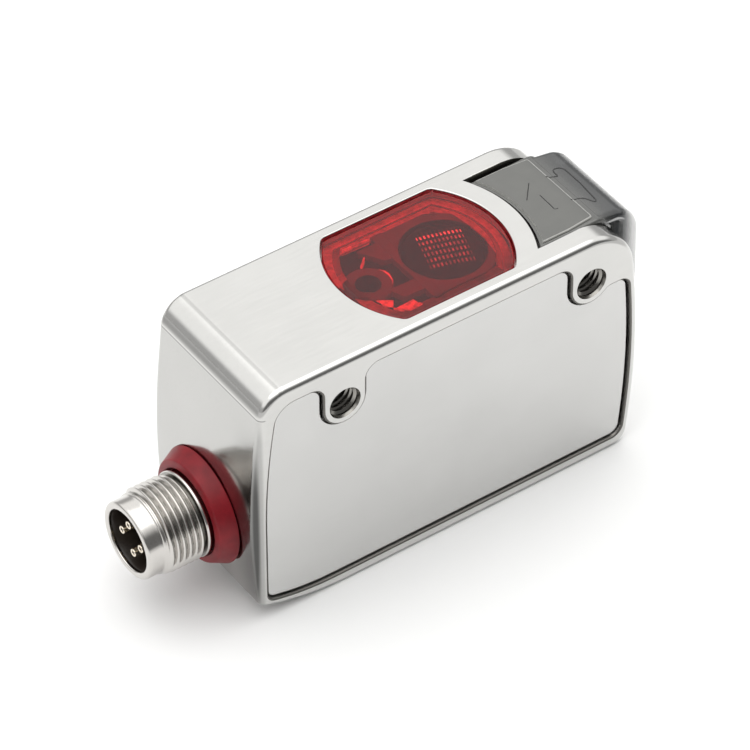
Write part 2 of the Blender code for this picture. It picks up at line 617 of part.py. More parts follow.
def build_optics(kit, dark, glass, brass, steel):
    """Holder with the receiver lens and the laser barrel."""
    low = (WINDOW_CENTRE - HOLDER_HALF_LENGTH, -HOLDER_HALF_WIDTH)
    high = (WINDOW_CENTRE + HOLDER_HALF_LENGTH, HOLDER_HALF_WIDTH)
    block = rectangle(low, high, BOARD_CORNER)
    holder = kit.part(extruded("optics_holder", block, HOLDER_BOTTOM, HOLDER_SHOULDER, "XY"), dark)
    neck = inset(window_outline(), WINDOW_LEDGE + FIT)
    kit.cut(holder, extruded("holder_neck", neck, HOLDER_SHOULDER - FIT, HOLDER_TOP, "XY"), "UNION")
    above = HOLDER_TOP + OVERCUT
    below = HOLDER_BOTTOM - OVERCUT
    lens_seat = LENS_BOTTOM - FIT
    bore = [(0, above), (LENS_RADIUS + FIT, above), (LENS_RADIUS + FIT, lens_seat),
            (RECEIVER_BORE, lens_seat), (RECEIVER_BORE, below), (0, below)]
    kit.cut(holder, turned("receiver_bore", bore, (RECEIVER_X, 0, 0)))
    step = BARREL_TOP + FIT
    bore = [(0, above), (APERTURE_RADIUS, above), (APERTURE_RADIUS, step),
            (BARREL_RADIUS + FIT, step), (BARREL_RADIUS + FIT, below), (0, below)]
    kit.cut(holder, turned("emitter_bore", bore, (EMITTER_X, 0, 0)))
    for number, (x, y) in enumerate(screw_places(), 1):
        kit.cut(holder, cylinder(f"screw_hole_{number}", SCREW_RADIUS + FIT, below,
                                 OPTICS_BOARD_BOTTOM + SCREW_LENGTH, (x, y, 0), steps=SMALL_STEPS))
    rise = [math.radians(angle) for angle in LENS_CROWN_ANGLES]
    crown = [(LENS_RADIUS * math.sin(a), LENS_BOTTOM + LENS_EDGE + LENS_CROWN * math.cos(a)) for a in rise]
    kit.part(turned("receiver_lens", crown + [(LENS_RADIUS, LENS_BOTTOM), (0, LENS_BOTTOM)],
                    (RECEIVER_X, 0, 0)), glass)
    at = (EMITTER_X, 0, 0)
    barrel_bottom = BARREL_TOP - BARREL_LENGTH
    barrel = [(BARREL_RADIUS, BARREL_TOP), (BARREL_RADIUS, barrel_bottom), (BARREL_BORE, barrel_bottom),
              (BARREL_BORE, BARREL_WAIST_BOTTOM), (BARREL_WAIST, BARREL_WAIST_BOTTOM),
              (BARREL_WAIST, BARREL_WAIST_TOP), (BARREL_BORE, BARREL_WAIST_TOP), (BARREL_BORE, BARREL_TOP)]
    kit.part(turned("laser_barrel", barrel, at, closed=True), brass)
    lens_low = BARREL_WAIST_TOP + FIT
    kit.part(cylinder("emitter_lens", BARREL_BORE - FIT, lens_low, lens_low + EMITTER_LENS_THICKNESS, at),
             glass)
    header = BARREL_BORE - FIT
    can = BARREL_WAIST - FIT
    header_low = DIODE_SEAT - DIODE_HEADER_THICKNESS
    shape = [(0, DIODE_SEAT + DIODE_CAN_HEIGHT), (can, DIODE_SEAT + DIODE_CAN_HEIGHT), (can, DIODE_SEAT),
             (header, DIODE_SEAT), (header, header_low), (0, header_low)]
    diode = kit.part(turned("laser_diode", shape, at), steel)
    for number in range(DIODE_PIN_COUNT):
        angle = math.tau * number / DIODE_PIN_COUNT
        place = (EMITTER_X + DIODE_PIN_CIRCLE * math.cos(angle), DIODE_PIN_CIRCLE * math.sin(angle), 0)
        pin_low = OPTICS_BOARD_BOTTOM - PIN_STICK_OUT
        pin_high = header_low + DIODE_HEADER_THICKNESS / 2
        pin = cylinder(f"diode_pin_{number + 1}", DIODE_PIN_RADIUS, pin_low, pin_high, place, steps=PIN_STEPS)
        kit.cut(diode, pin, "UNION")


def build_boards(kit, board_green, chip_black, steel, led_green, led_yellow, clear):
    """Boards inside the housing with their chips, lamps and screws."""
    low = (WINDOW_CENTRE - HOLDER_HALF_LENGTH, -HOLDER_HALF_WIDTH)
    high = (WINDOW_CENTRE + HOLDER_HALF_LENGTH, HOLDER_HALF_WIDTH)
    outline = rectangle(low, high, BOARD_CORNER)
    optics = extruded("optics_board", outline, OPTICS_BOARD_BOTTOM, OPTICS_BOARD_TOP, "XY")
    kit.part(optics, board_green)
    under = OPTICS_BOARD_BOTTOM - OVERCUT
    over = OPTICS_BOARD_TOP + OVERCUT
    kit.cut(optics, cylinder("diode_pin_window", PIN_WINDOW_RADIUS, under, over, (EMITTER_X, 0, 0)))
    for number, (x, y) in enumerate(screw_places(), 1):
        kit.cut(optics, cylinder(f"board_hole_{number}", SCREW_RADIUS + FIT, under, over, (x, y, 0),
                                 steps=SMALL_STEPS))
    chip_low = OPTICS_BOARD_TOP + FIT
    kit.part(centred_box("receiver_chip", (RECEIVER_X, 0, chip_low + RECEIVER_CHIP_SIZE[2] / 2),
                         RECEIVER_CHIP_SIZE), chip_black)
    build_optics_screws(kit, steel)
    kit.part(centred_box("link_header", (WINDOW_CENTRE, 0, (HEADER_TOP + HEADER_BOTTOM) / 2),
                         LINK_HEADER_SIZE), chip_black)
    outline = rectangle((MAIN_BOARD_START, MAIN_BOARD_BOTTOM), (MAIN_BOARD_END, MAIN_BOARD_TOP), BOARD_CORNER)
    half = MAIN_BOARD_THICKNESS / 2
    kit.part(extruded("main_board", outline, -half, half, "XZ"), board_green)
    place = (PROCESSOR_X, -half - FIT - PROCESSOR_SIZE[1] / 2, CHIP_LEVEL)
    kit.part(centred_box("processor_chip", place, PROCESSOR_SIZE), chip_black)
    place = (DRIVER_X, half + FIT + DRIVER_SIZE[1] / 2, CHIP_LEVEL)
    kit.part(centred_box("driver_chip", place, DRIVER_SIZE), chip_black)
    outline = rectangle((-LED_BOARD_HALF_WIDTH, LED_BOARD_BOTTOM), (LED_BOARD_HALF_WIDTH, LED_BOARD_TOP),
                        BOARD_CORNER)
    kit.part(extruded("led_board", outline, LED_BOARD_X, LED_BOARD_X + BOARD_THICKNESS, "YZ"), board_green)
    for name, side, material in (("status_led_green", -1, led_green), ("status_led_yellow", 1, led_yellow)):
        place = (LED_FACE + LED_SIZE[0] / 2, side * LED_SPREAD, LED_LEVEL)
        kit.part(centred_box(name, place, LED_SIZE), material)
    kit.part(box("light_guide", (GUIDE_START, -GUIDE_HALF_WIDTH, GUIDE_LEVEL - GUIDE_HALF_HEIGHT),
                 (GUIDE_END, GUIDE_HALF_WIDTH, GUIDE_LEVEL + GUIDE_HALF_HEIGHT)), clear)


def build_optics_screws(kit, steel):
    """Two small screws that hold the optics board under the holder."""
    head_top = OPTICS_BOARD_BOTTOM - FIT
    head_low = head_top - SCREW_HEAD_HEIGHT
    tip = OPTICS_BOARD_BOTTOM + SCREW_LENGTH - FIT
    profile = [(0, tip), (SCREW_RADIUS, tip), (SCREW_RADIUS, head_top), (SCREW_HEAD_RADIUS, head_top),
               (SCREW_HEAD_RADIUS, head_low), (0, head_low)]
    for number, (x, y) in enumerate(screw_places(), 1):
        kit.part(turned(f"optics_screw_{number}", profile, (x, y, 0), steps=SMALL_STEPS), steel)


def build_plug(kit, steel, ring_red, rubber, black, gold, board_green):
    """M8 plug: shell, red ring, seal, pin carrier, four pins, nut and its round board."""
    at = (PLUG_FACE, 0, PLUG_LEVEL)
    step = INSERT_BOTTOM - FIT
    shell = [
        (COLLAR_RADIUS - PLUG_CHAMFER, PLUG_LENGTH), (COLLAR_RADIUS, PLUG_LENGTH - PLUG_CHAMFER),
        (COLLAR_RADIUS, THREAD_END), (THREAD_RADIUS, THREAD_END - THREAD_CHAMFER),
        (THREAD_RADIUS, THREAD_START), (RELIEF_RADIUS, THREAD_START), (RELIEF_RADIUS, FLANGE_TOP),
        (FLANGE_RADIUS, FLANGE_TOP), (FLANGE_RADIUS, FLANGE_BOTTOM), (TAIL_RADIUS, FLANGE_BOTTOM),
        (TAIL_RADIUS, GROOVE_TOP), (GROOVE_RADIUS, GROOVE_TOP), (GROOVE_RADIUS, GROOVE_BOTTOM),
        (TAIL_RADIUS, GROOVE_BOTTOM), (TAIL_RADIUS, -TAIL_LENGTH), (TAIL_BORE, -TAIL_LENGTH),
        (TAIL_BORE, step), (PLUG_BORE, step), (PLUG_BORE, PLUG_LENGTH - PLUG_CHAMFER),
        (PLUG_BORE + PLUG_CHAMFER, PLUG_LENGTH),
    ]
    kit.part(turned("connector_shell", shell, at, "-X", closed=True), steel)
    ring_step = FLANGE_BOTTOM - FIT
    ring = [(RING_FACE_RADIUS, RING_FACE), (RING_BASE_RADIUS, FIT), (TAIL_RADIUS + FIT, FIT),
            (TAIL_RADIUS + FIT, ring_step), (RING_COUNTERBORE, ring_step), (RING_COUNTERBORE, RING_FACE)]
    kit.part(turned("connector_ring", ring, at, "-X", closed=True), ring_red)
    middle = (GROOVE_RADIUS + HOUSING_PLUG_HOLE) / 2
    level = (GROOVE_TOP + GROOVE_BOTTOM) / 2
    angles = [math.tau * step / PIN_STEPS for step in range(PIN_STEPS)]
    section = [(middle + ORING_SECTION * math.sin(a), level + ORING_SECTION * math.cos(a)) for a in angles]
    kit.part(turned("connector_oring", section, at, "-X", closed=True), rubber)
    insert = cylinder("connector_insert", PLUG_BORE - FIT, INSERT_BOTTOM, INSERT_FACE, at, "-X")
    kit.part(insert, black)
    board_outline = circle((0, PLUG_LEVEL), PLUG_BOARD_RADIUS, TURNED_STEPS)
    board = kit.part(extruded("connector_board", board_outline, PLUG_BOARD_X, PLUG_BOARD_X + BOARD_THICKNESS,
                              "YZ"), board_green)
    pin = [(0, CONTACT_TIP), (CONTACT_RADIUS - CONTACT_TIP_CHAMFER, CONTACT_TIP),
           (CONTACT_RADIUS, CONTACT_TIP - CONTACT_TIP_CHAMFER), (CONTACT_RADIUS, CONTACT_END),
           (0, CONTACT_END)]
    for number, degrees in enumerate(CONTACT_ANGLES, 1):
        angle = math.radians(degrees)
        place = (PLUG_FACE, CONTACT_CIRCLE * math.cos(angle), PLUG_LEVEL + CONTACT_CIRCLE * math.sin(angle))
        kit.part(turned(f"contact_pin_{number}", pin, place, "-X", steps=SMALL_STEPS), gold)
        kit.cut(insert, cylinder(f"insert_hole_{number}", CONTACT_HOLE, INSERT_BOTTOM - OVERCUT,
                                 INSERT_FACE + OVERCUT, place, "-X", steps=SMALL_STEPS))
        kit.cut(board, cylinder(f"plug_board_hole_{number}", CONTACT_HOLE, CONTACT_END - OVERCUT,
                                OVERCUT - TAIL_LENGTH, place, "-X", steps=SMALL_STEPS))
    corner = Vector((0, NUT_ACROSS_FLATS / 2 / math.cos(math.pi / 6)))
    hexagon = [Vector((0, PLUG_LEVEL)) + Matrix.Rotation(math.tau * side / 6, 2) @ corner for side in range(6)]
    nut_start = CAVITY_PLUG_WALL + FIT
    nut = kit.part(extruded("connector_nut", hexagon, nut_start, nut_start + NUT_THICKNESS, "YZ"), steel)
    kit.cut(nut, cylinder("nut_bore", TAIL_RADIUS + FIT, -TAIL_LENGTH - OVERCUT, OVERCUT, at, "-X"))


def build():
    """Build the whole sensor."""
    for thing in list(bpy.data.objects):
        bpy.data.objects.remove(thing)
    kit = Assembly()
    steel = make_material("satin_steel", (0.72, 0.72, 0.70), 0.28, metallic=1.0)
    plain_steel = make_material("turned_steel", (0.66, 0.65, 0.63), 0.32, metallic=1.0)
    red_clear = make_material("red_window", (0.62, 0.02, 0.03), 0.08, transmission=0.8)
    ring_red = make_material("ring_red", (0.38, 0.01, 0.03), 0.45)
    smoke = make_material("smoked_plastic", (0.16, 0.17, 0.18), 0.12, transmission=0.6)
    glass = make_material("lens_glass", (0.85, 0.88, 0.9), 0.05, transmission=0.9)
    clear = make_material("clear_guide", (0.9, 0.9, 0.9), 0.1, transmission=0.8)
    dark = make_material("dark_holder", (0.03, 0.02, 0.02), 0.5)
    black = make_material("black_insert", (0.02, 0.02, 0.02), 0.55)
    rubber = make_material("seal_rubber", (0.03, 0.03, 0.03), 0.8)
    brass = make_material("barrel_brass", (0.75, 0.58, 0.25), 0.3, metallic=1.0)
    gold = make_material("pin_gold", (0.85, 0.68, 0.4), 0.25, metallic=1.0)
    board_green = make_material("board_green", (0.02, 0.2, 0.08), 0.45)
    led_green = make_material("lamp_green", (0.1, 0.7, 0.2), 0.3)
    led_yellow = make_material("lamp_yellow", (0.9, 0.7, 0.1), 0.3)
    build_housing(kit, steel)
    build_covers(kit, steel)
    build_window(kit, red_clear)
    build_cap(kit, smoke)
    build_optics(kit, dark, glass, brass, plain_steel)
    build_boards(kit, board_green, black, plain_steel, led_green, led_yellow, clear)
    build_plug(kit, plain_steel, ring_red, rubber, black, gold, board_green)


build()
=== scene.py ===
# %% [markdown]
# # A laser photoelectric sensor in Blender
#
# The real object is a pocket-sized sensor: a polished stainless steel body, a red pane that a laser
# looks out of, a smoked cap over two status lamps and a round plug with four pins.
# The solids come from the CAD frame. Here they get the fine shapes and finishes that a camera sees.

# %% Load the frame
import math

import bmesh
import bpy
from mathutils import Matrix, Vector


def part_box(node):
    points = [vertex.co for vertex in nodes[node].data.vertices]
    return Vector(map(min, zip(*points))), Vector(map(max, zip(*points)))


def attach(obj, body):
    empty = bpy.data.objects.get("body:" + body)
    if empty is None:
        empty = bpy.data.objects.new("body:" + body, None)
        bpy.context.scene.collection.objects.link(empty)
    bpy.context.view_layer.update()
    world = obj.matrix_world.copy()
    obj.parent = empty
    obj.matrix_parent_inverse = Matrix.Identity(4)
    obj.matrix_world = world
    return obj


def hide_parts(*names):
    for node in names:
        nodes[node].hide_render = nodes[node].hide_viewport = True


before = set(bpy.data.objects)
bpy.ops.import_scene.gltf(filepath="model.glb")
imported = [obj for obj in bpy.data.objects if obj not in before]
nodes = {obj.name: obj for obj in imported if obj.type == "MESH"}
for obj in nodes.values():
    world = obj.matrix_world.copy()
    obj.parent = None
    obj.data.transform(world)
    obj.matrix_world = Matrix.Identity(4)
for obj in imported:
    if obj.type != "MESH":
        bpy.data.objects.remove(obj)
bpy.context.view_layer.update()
print("CAD nodes:", len(nodes))

# %% [markdown]
# ## Working in millimetres
#
# A part this small is easier to model in millimetres. Every size below is measured from the first
# fixing hole: X runs towards the cap, Y across the body and Z up. One matrix then carries a finished
# mesh into the frame. The plug's front and the body's back say where the frame's origin lies.

# %% Where the drawing sits in the frame
MM = 0.001
PLUG_FRONT = -17.05
BACK_LEVEL = -20.75
plug_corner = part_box("connector_shell")[0]
body_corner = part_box("housing")[0]
ORIGIN = Vector((plug_corner.x - PLUG_FRONT * MM, 0, body_corner.z - BACK_LEVEL * MM))
TO_FRAME = Matrix.Translation(ORIGIN) @ Matrix.Scale(MM, 4)
print("first hole in the frame, mm:", [round(1000 * value, 3) for value in ORIGIN])

# %% [markdown]
# ## Outlines with round corners
#
# Most pieces start as a flat outline. Each corner is one vertex that the spin operator carries round
# the corner's own centre, which leaves a clean arc. Straight edges then join the arcs and one face
# fills the loop. Extruding that face gives a plate or a block, much as in a CAD sketch.

# %% Outline helper
PLANES = {
    "XY": (lambda a, b, level: Vector((a, b, level)), Vector((0, 0, 1)), Vector((0, 0, 1))),
    "XZ": (lambda a, b, level: Vector((a, level, b)), Vector((0, -1, 0)), Vector((0, 1, 0))),
    "YZ": (lambda a, b, level: Vector((level, a, b)), Vector((1, 0, 0)), Vector((1, 0, 0))),
}
CHORD = 0.004


def arc_steps(radius, turn):
    """How many straight steps keep an arc within the chord error."""
    return max(2, math.ceil(abs(turn) / (2 * math.acos(1 - CHORD / max(radius, 3 * CHORD)))))


def draw_outline(shape, corners, plane, level):
    """Draw a closed outline with rounded corners (a, b, radius) and fill it with one face."""
    lift, axis, _ = PLANES[plane]
    arcs = []
    for index, (a, b, radius) in enumerate(corners):
        corner = Vector((a, b))
        back = (Vector(corners[index - 1][:2]) - corner).normalized()
        ahead = (Vector(corners[(index + 1) % len(corners)][:2]) - corner).normalized()
        turn = math.pi - back.angle(ahead)
        start = corner + back * radius * math.tan(turn / 2)
        first = last = shape.verts.new(lift(start.x, start.y, level))
        if radius > 0:
            centre = corner + (back + ahead).normalized() * radius / math.cos(turn / 2)
            sense = -math.copysign(1.0, back.cross(ahead))
            spun = bmesh.ops.spin(shape, geom=[first], cent=lift(centre.x, centre.y, level), axis=axis,
                                  angle=sense * turn, steps=arc_steps(radius, turn))
            last = [item for item in spun["geom_last"] if isinstance(item, bmesh.types.BMVert)][0]
        arcs.append((first, last))
    for (_, last), (first, _) in zip(arcs, arcs[1:] + arcs[:1]):
        shape.edges.new((last, first))
    bmesh.ops.remove_doubles(shape, verts=shape.verts, dist=0.0005)
    return bmesh.ops.contextual_create(shape, geom=shape.edges[:])["faces"][0]


def push(shape, face, distance, plane):
    """Extrude a face along its plane's direction and return the new end face."""
    out = bmesh.ops.extrude_face_region(shape, geom=[face])["geom"]
    moved = [item for item in out if isinstance(item, bmesh.types.BMVert)]
    bmesh.ops.translate(shape, verts=moved, vec=PLANES[plane][2] * distance)
    return [item for item in out if isinstance(item, bmesh.types.BMFace)][0]


def round_edges(shape, edges, radius, segments=3):
    """Bevel some edges with a circular profile and return the new faces."""
    return bmesh.ops.bevel(shape, geom=list(edges), offset=radius, offset_type="OFFSET", segments=segments,
                           profile=0.5, affect="EDGES", material=-1, clamp_overlap=False)["faces"]


def close_up(shape):
    """Merge doubles and turn every face outwards."""
    bmesh.ops.remove_doubles(shape, verts=shape.verts, dist=0.0004)
    bmesh.ops.recalc_face_normals(shape, faces=shape.faces)
    if shape.calc_volume(signed=True) < 0:
        bmesh.ops.reverse_faces(shape, faces=shape.faces)
    return shape


def prism(corners, plane, low, high, top=0.0, bottom=0.0, trim=0.0, segments=3):
    """A plate with an outline, optionally trimmed all round and with rounded rims."""
    shape = bmesh.new()
    face = draw_outline(shape, corners, plane, low)
    if trim:
        rim = bmesh.ops.inset_region(shape, faces=[face], thickness=trim, use_even_offset=True,
                                     use_boundary=True)
        bmesh.ops.delete(shape, geom=rim["faces"], context="FACES")
    end = push(shape, face, high - low, plane)
    close_up(shape)
    for face_now, radius in ((end, top), (face, bottom)):
        if radius:
            round_edges(shape, face_now.edges, radius, segments)
    return close_up(shape)


def block(low, high, radius=0.0):
    """A block between two corners with rounded edges."""
    shape = bmesh.new()
    bmesh.ops.create_cube(shape, size=1.0)
    bmesh.ops.scale(shape, vec=Vector(high) - Vector(low), verts=shape.verts)
    bmesh.ops.translate(shape, vec=(Vector(high) + Vector(low)) / 2, verts=shape.verts)
    if radius:
        round_edges(shape, shape.edges, radius)
    return shape


print("outline helpers ready")

# %% [markdown]
# ## Turned shapes
#
# Anything made on a lathe is a profile spun once round its axis. The profile lists radius and height,
# and a full spin is merged, so no seam is left. Poles close because their radius is zero and the
# doubles there are merged.

# %% Lathe helper
AXES = {
    "Z": (Vector((0, 0, 1)), Vector((1, 0, 0))),
    "Y": (Vector((0, 1, 0)), Vector((1, 0, 0))),
    "-X": (Vector((-1, 0, 0)), Vector((0, 0, 1))),
}


def turned(profile, at, axis="Z", steps=96, closed=False):
    """Spin a profile of (radius, height) round an axis through a point."""
    along, out = AXES[axis]
    base = Vector(at)
    shape = bmesh.new()
    line = [shape.verts.new(base + out * radius + along * height) for radius, height in profile]
    pairs = list(zip(line, line[1:])) + ([(line[-1], line[0])] if closed else [])
    edges = [shape.edges.new(pair) for pair in pairs]
    bmesh.ops.spin(shape, geom=line + edges, cent=base, axis=along, angle=math.tau, steps=steps,
                   use_merge=True)
    return close_up(shape)


def fillet(centre, radius, start, end, count=5):
    """Points of a rounded edge in a lathe profile, angles in degrees."""
    angles = [math.radians(start + (end - start) * step / count) for step in range(count + 1)]
    return [(centre[0] + radius * math.cos(a), centre[1] + radius * math.sin(a)) for a in angles]


print("lathe helper ready")

# %% [markdown]
# ## Joining, cutting and handing over
#
# Pockets and holes are cut with Boolean modifiers, and the result is applied at once, so each piece
# ends as one plain mesh. A cut face takes its tool's finish number, so a pocket can be darker than the
# face round it. A Weighted Normal modifier makes the flat faces shade flat and lets the small
# fillets carry the highlight, which is what sells polished metal.

# %% Carving and finishing helpers
FINISH_SLOTS = 4


def loose_object(name, shape, slots=0):
    """An object for a bmesh, with some empty material slots."""
    mesh = bpy.data.meshes.new(name)
    shape.to_mesh(mesh)
    for _ in range(slots):
        mesh.materials.append(None)
    shape.free()
    piece = bpy.data.objects.new(name, mesh)
    bpy.context.scene.collection.objects.link(piece)
    return piece


def marked(shape, finish=1):
    """Give every face of a shape the number of one of the piece's finishes, as a rule the second one."""
    for face in shape.faces:
        face.material_index = finish
    return shape


def carve(shape, tools):
    """Cut shapes out of a shape, or join them on, and return the result as a new bmesh."""
    piece = loose_object("carved", shape, slots=FINISH_SLOTS)
    helpers = []
    for number, (operation, tool) in enumerate(tools):
        helper = loose_object(f"tool_{number}", tool, slots=FINISH_SLOTS)
        helpers.append(helper)
        modifier = piece.modifiers.new(helper.name, "BOOLEAN")
        modifier.operation = operation
        modifier.object = helper
        modifier.solver = "EXACT"
    bpy.context.view_layer.update()
    result = bmesh.new()
    result.from_object(piece, bpy.context.evaluated_depsgraph_get())
    for thing in [piece] + helpers:
        mesh = thing.data
        bpy.data.objects.remove(thing)
        bpy.data.meshes.remove(mesh)
    bmesh.ops.remove_doubles(result, verts=result.verts, dist=0.0005)
    bmesh.ops.dissolve_degenerate(result, dist=0.0005, edges=result.edges)
    return result


def hand_over(name, shape, finishes, replaces=(), sharp=32.0, weighted=True):
    """Turn a bmesh in millimetres into a finished piece that rides on the body."""
    bmesh.ops.transform(shape, matrix=TO_FRAME, verts=shape.verts)
    piece = loose_object(name, shape)
    for material in finishes if isinstance(finishes, list) else [finishes]:
        piece.data.materials.append(material)
    piece.data.shade_smooth()
    piece.data.set_sharp_from_angle(angle=math.radians(sharp))
    if weighted:
        modifier = piece.modifiers.new("flat faces stay flat", "WEIGHTED_NORMAL")
        modifier.keep_sharp = True
    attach(piece, "root")
    if replaces:
        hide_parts(*replaces)
    print(f"{name}: {len(piece.data.polygons)} faces")
    return piece


print("carving helpers ready")

# %% [markdown]
# ## Shader maths
#
# A pattern is easier to read as a formula than as a web of nodes. The small class below wraps one
# socket. Arithmetic on it adds Math nodes, and its node method adds any other node.

# %% Value: one socket that can be calculated with
class Value:
    """A socket in a node tree. Arithmetic on it adds Math nodes."""

    def __init__(self, tree, socket=None):
        self.tree, self.socket = tree, socket

    def node(self, kind, inputs=None, output=0, **settings):
        """Add a node of a kind with its settings and inputs, and return one output."""
        node = self.tree.nodes.new(kind)
        for key, value in settings.items():
            setattr(node, key, value)
        for key, value in (inputs or {}).items():
            if isinstance(value, Value):
                self.tree.links.new(value.socket, node.inputs[key])
            else:
                node.inputs[key].default_value = value
        return Value(self.tree, node.outputs[output])

    def maths(self, operation, other=0.0, reverse=False):
        """One Math node on this value and another."""
        pair = {0: other, 1: self} if reverse else {0: self, 1: other}
        return self.node("ShaderNodeMath", pair, operation=operation)

    def __add__(self, other):
        return self.maths("ADD", other)

    def __sub__(self, other):
        return self.maths("SUBTRACT", other)

    def __rsub__(self, other):
        return self.maths("SUBTRACT", other, reverse=True)

    def __mul__(self, other):
        return self.maths("MULTIPLY", other)

    def smooth(self, low, high, start=0.0, end=1.0):
        """A soft step from start to end between two values."""
        return self.node("ShaderNodeMapRange", {0: self, 1: low, 2: high, 3: start, 4: end},
                         interpolation_type="SMOOTHSTEP")

    def blend(self, first, second):
        """Mix two colours by this value."""
        return self.node("ShaderNodeMix", {0: self, 6: first, 7: second}, output=2, data_type="RGBA")


print("shader maths ready")

# %% [markdown]
# ## A finish in a few lines
#
# Every finish starts with the constants of the real material on the Principled shader. Patterns read
# Object coordinates, so they stay fixed to the part. What varies feeds colour, roughness and bump.
# The mottled helper covers plain finishes, which differ only in colours, grain and gloss.

# %% Finish helper
def linear(red, green, blue):
    """A colour with full opacity."""
    return (red, green, blue, 1.0)


def start_finish(name, **constants):
    """A new material with constants on its shader. Returns it with a Value that starts patterns."""
    material = bpy.data.materials.new(name)
    material.use_nodes = True
    shader = material.node_tree.nodes["Principled BSDF"]
    for key, value in constants.items():
        shader.inputs[key.replace("_", " ")].default_value = value
    return material, Value(material.node_tree)


def feed(material, **fields):
    """Link values to sockets of the material's shader."""
    shader = material.node_tree.nodes["Principled BSDF"]
    for key, value in fields.items():
        material.node_tree.links.new(value.socket, shader.inputs[key.replace("_", " ")])


def place(value, scale=(1.0, 1.0, 1.0), turn=(0.0, 0.0, 0.0), centre=(0.0, 0.0, 0.0)):
    """Object coordinates in millimetres from the first hole, moved to a centre, turned and stretched."""
    coordinates = value.node("ShaderNodeTexCoord", output=3)
    home = ORIGIN + Vector(centre) * MM
    local = value.node("ShaderNodeVectorMath", {0: coordinates, 1: tuple(home)}, operation="SUBTRACT")
    return value.node("ShaderNodeMapping", {0: local, 2: turn, 3: tuple(1000.0 * s for s in scale)},
                      vector_type="POINT")


def noise(value, where, size, detail=3.0, roughness=0.5, distortion=0.0):
    """Soft noise between 0 and 1 whose blobs are about a size in millimetres."""
    return value.node("ShaderNodeTexNoise", {"Vector": where, "Scale": 1.0 / size, "Detail": detail,
                                             "Roughness": roughness, "Distortion": distortion})


def bump(value, height, depth):
    """A Bump node from a height between 0 and 1, with its depth in millimetres."""
    return value.node("ShaderNodeBump", {"Height": height, "Distance": depth * MM, "Strength": 1.0})


def coordinate(value, where, number):
    """One coordinate of a place: 0, 1 or 2 for X, Y or Z."""
    return value.node("ShaderNodeSeparateXYZ", {0: where}, output=number)


def mottled(name, dark, light, size, gloss, detail=2.0, contrast=False, stretch=(1.0, 1.0, 1.0), depth=0.0,
            **constants):
    """A finish that drifts between two colours and between two roughness values."""
    material, value = start_finish(name, **constants)
    shade = noise(value, place(value, scale=stretch), size, detail)
    mixed = shade.smooth(0.3, 0.7) if contrast else shade
    feed(material, Base_Color=mixed.blend(linear(*dark), linear(*light)),
         Roughness=shade * (gloss[1] - gloss[0]) + gloss[0])
    if depth:
        feed(material, Normal=bump(value, shade, depth))
    return material


print("finish helpers ready")

# %% [markdown]
# ## Steel
#
# The body is investment-cast stainless steel, blasted and then polished, so it mirrors softly and has
# a very fine grain. The cover plates are cut from sheet and keep a faint rolling direction. The plug
# comes off a lathe and shows fine rings. All are the same metal with other tool marks. Holes, seams and
# pockets get darker copies of it, painted shade, because there it mirrors its own dark walls. The plug
# end has painted shade and dark painted reflection lines in its colour.

# %% Satin, sheet and turned steel
def painted_end_shade(value, where):
    """Painted shade and reflection on the plug end: darker at its near edge, near rim, flat end and one band,
    with dark painted lines where the rounding starts.
    """
    x, y, z = (coordinate(value, where, number) for number in range(3))
    near_edge = y.smooth(-7.3, -3.5, 1.0, 0.0) * x.smooth(-8.9, -8.5, 1.0, 0.0)
    near_edge = near_edge * z.smooth(0.0, -6.0, 0.35, 1.0)
    low_line = (z - 2.24).maths("ABSOLUTE").smooth(0.02, 0.08, 1.0, 0.0) * x.smooth(-8.0, -7.8, 1.0, 0.0)
    high_line = (x + 6.3).maths("ABSOLUTE").smooth(0.05, 0.25, 0.4, 0.0) * z.smooth(4.2, 4.4)
    crease = low_line + high_line
    rim = y.smooth(-7.3, -7.1, 1.0, 0.0) * x.smooth(-8.6, -8.0, 1.0, 0.0) * z.smooth(0.0, 2.0, 1.0, 0.0)
    flat_end = x.smooth(-8.4, -8.1, 1.0, 0.0) * z.smooth(2.0, 2.3, 1.0, 0.0)
    band = z.smooth(2.4, 2.65) * z.smooth(3.0, 3.4, 1.0, 0.0) * x.smooth(-6.8, -6.4, 1.0, 0.0)
    band = band * y.smooth(-7.15, -6.85)
    # Each term darkens the colour towards black: painted shade and dark painted reflection.
    return 1.0 - near_edge * 0.5 - crease * 0.6 - rim * 0.2 - flat_end * 0.15 - band * 0.35


def steel(name, colour, roughness, grain, grain_depth, marks, marks_size, marks_depth, shade=None):
    """Stainless steel: grain everywhere and tool marks stretched along one direction."""
    material, value = start_finish(name, Metallic=1.0, Roughness=roughness)
    plain = place(value)
    cloud = noise(value, plain, 7.0, 2.0)
    fine = noise(value, plain, grain, 2.0, 0.6)
    streak = noise(value, place(value, scale=marks), marks_size, 3.0, 0.65)
    tone = cloud * 0.45 + fine * 0.2 + streak * 0.35
    darker = tuple(0.93 * part for part in colour)
    metal = tone.smooth(0.3, 0.7).blend(linear(*darker), linear(*colour))
    # An optional shade function paints shade and reflection into the colour.
    if shade:
        metal = shade(value, plain).blend(linear(0.0, 0.0, 0.0), metal)
    feed(material, Base_Color=metal,
         Roughness=(cloud - 0.5) * 0.08 + (streak - 0.5) * 0.07 + roughness,
         Normal=bump(value, fine * (grain_depth / (grain_depth + marks_depth))
                     + streak * (marks_depth / (grain_depth + marks_depth)), grain_depth + marks_depth))
    return material


def painted_shade_steel(name, colour, roughness):
    """Darker steel for holes, seams and pockets: painted shade, as the metal there mirrors its own dark
    walls.
    """
    return steel(name, colour, roughness, 0.06, 0.0008, (0.05, 1.0, 0.05), 0.1, 0.0012)


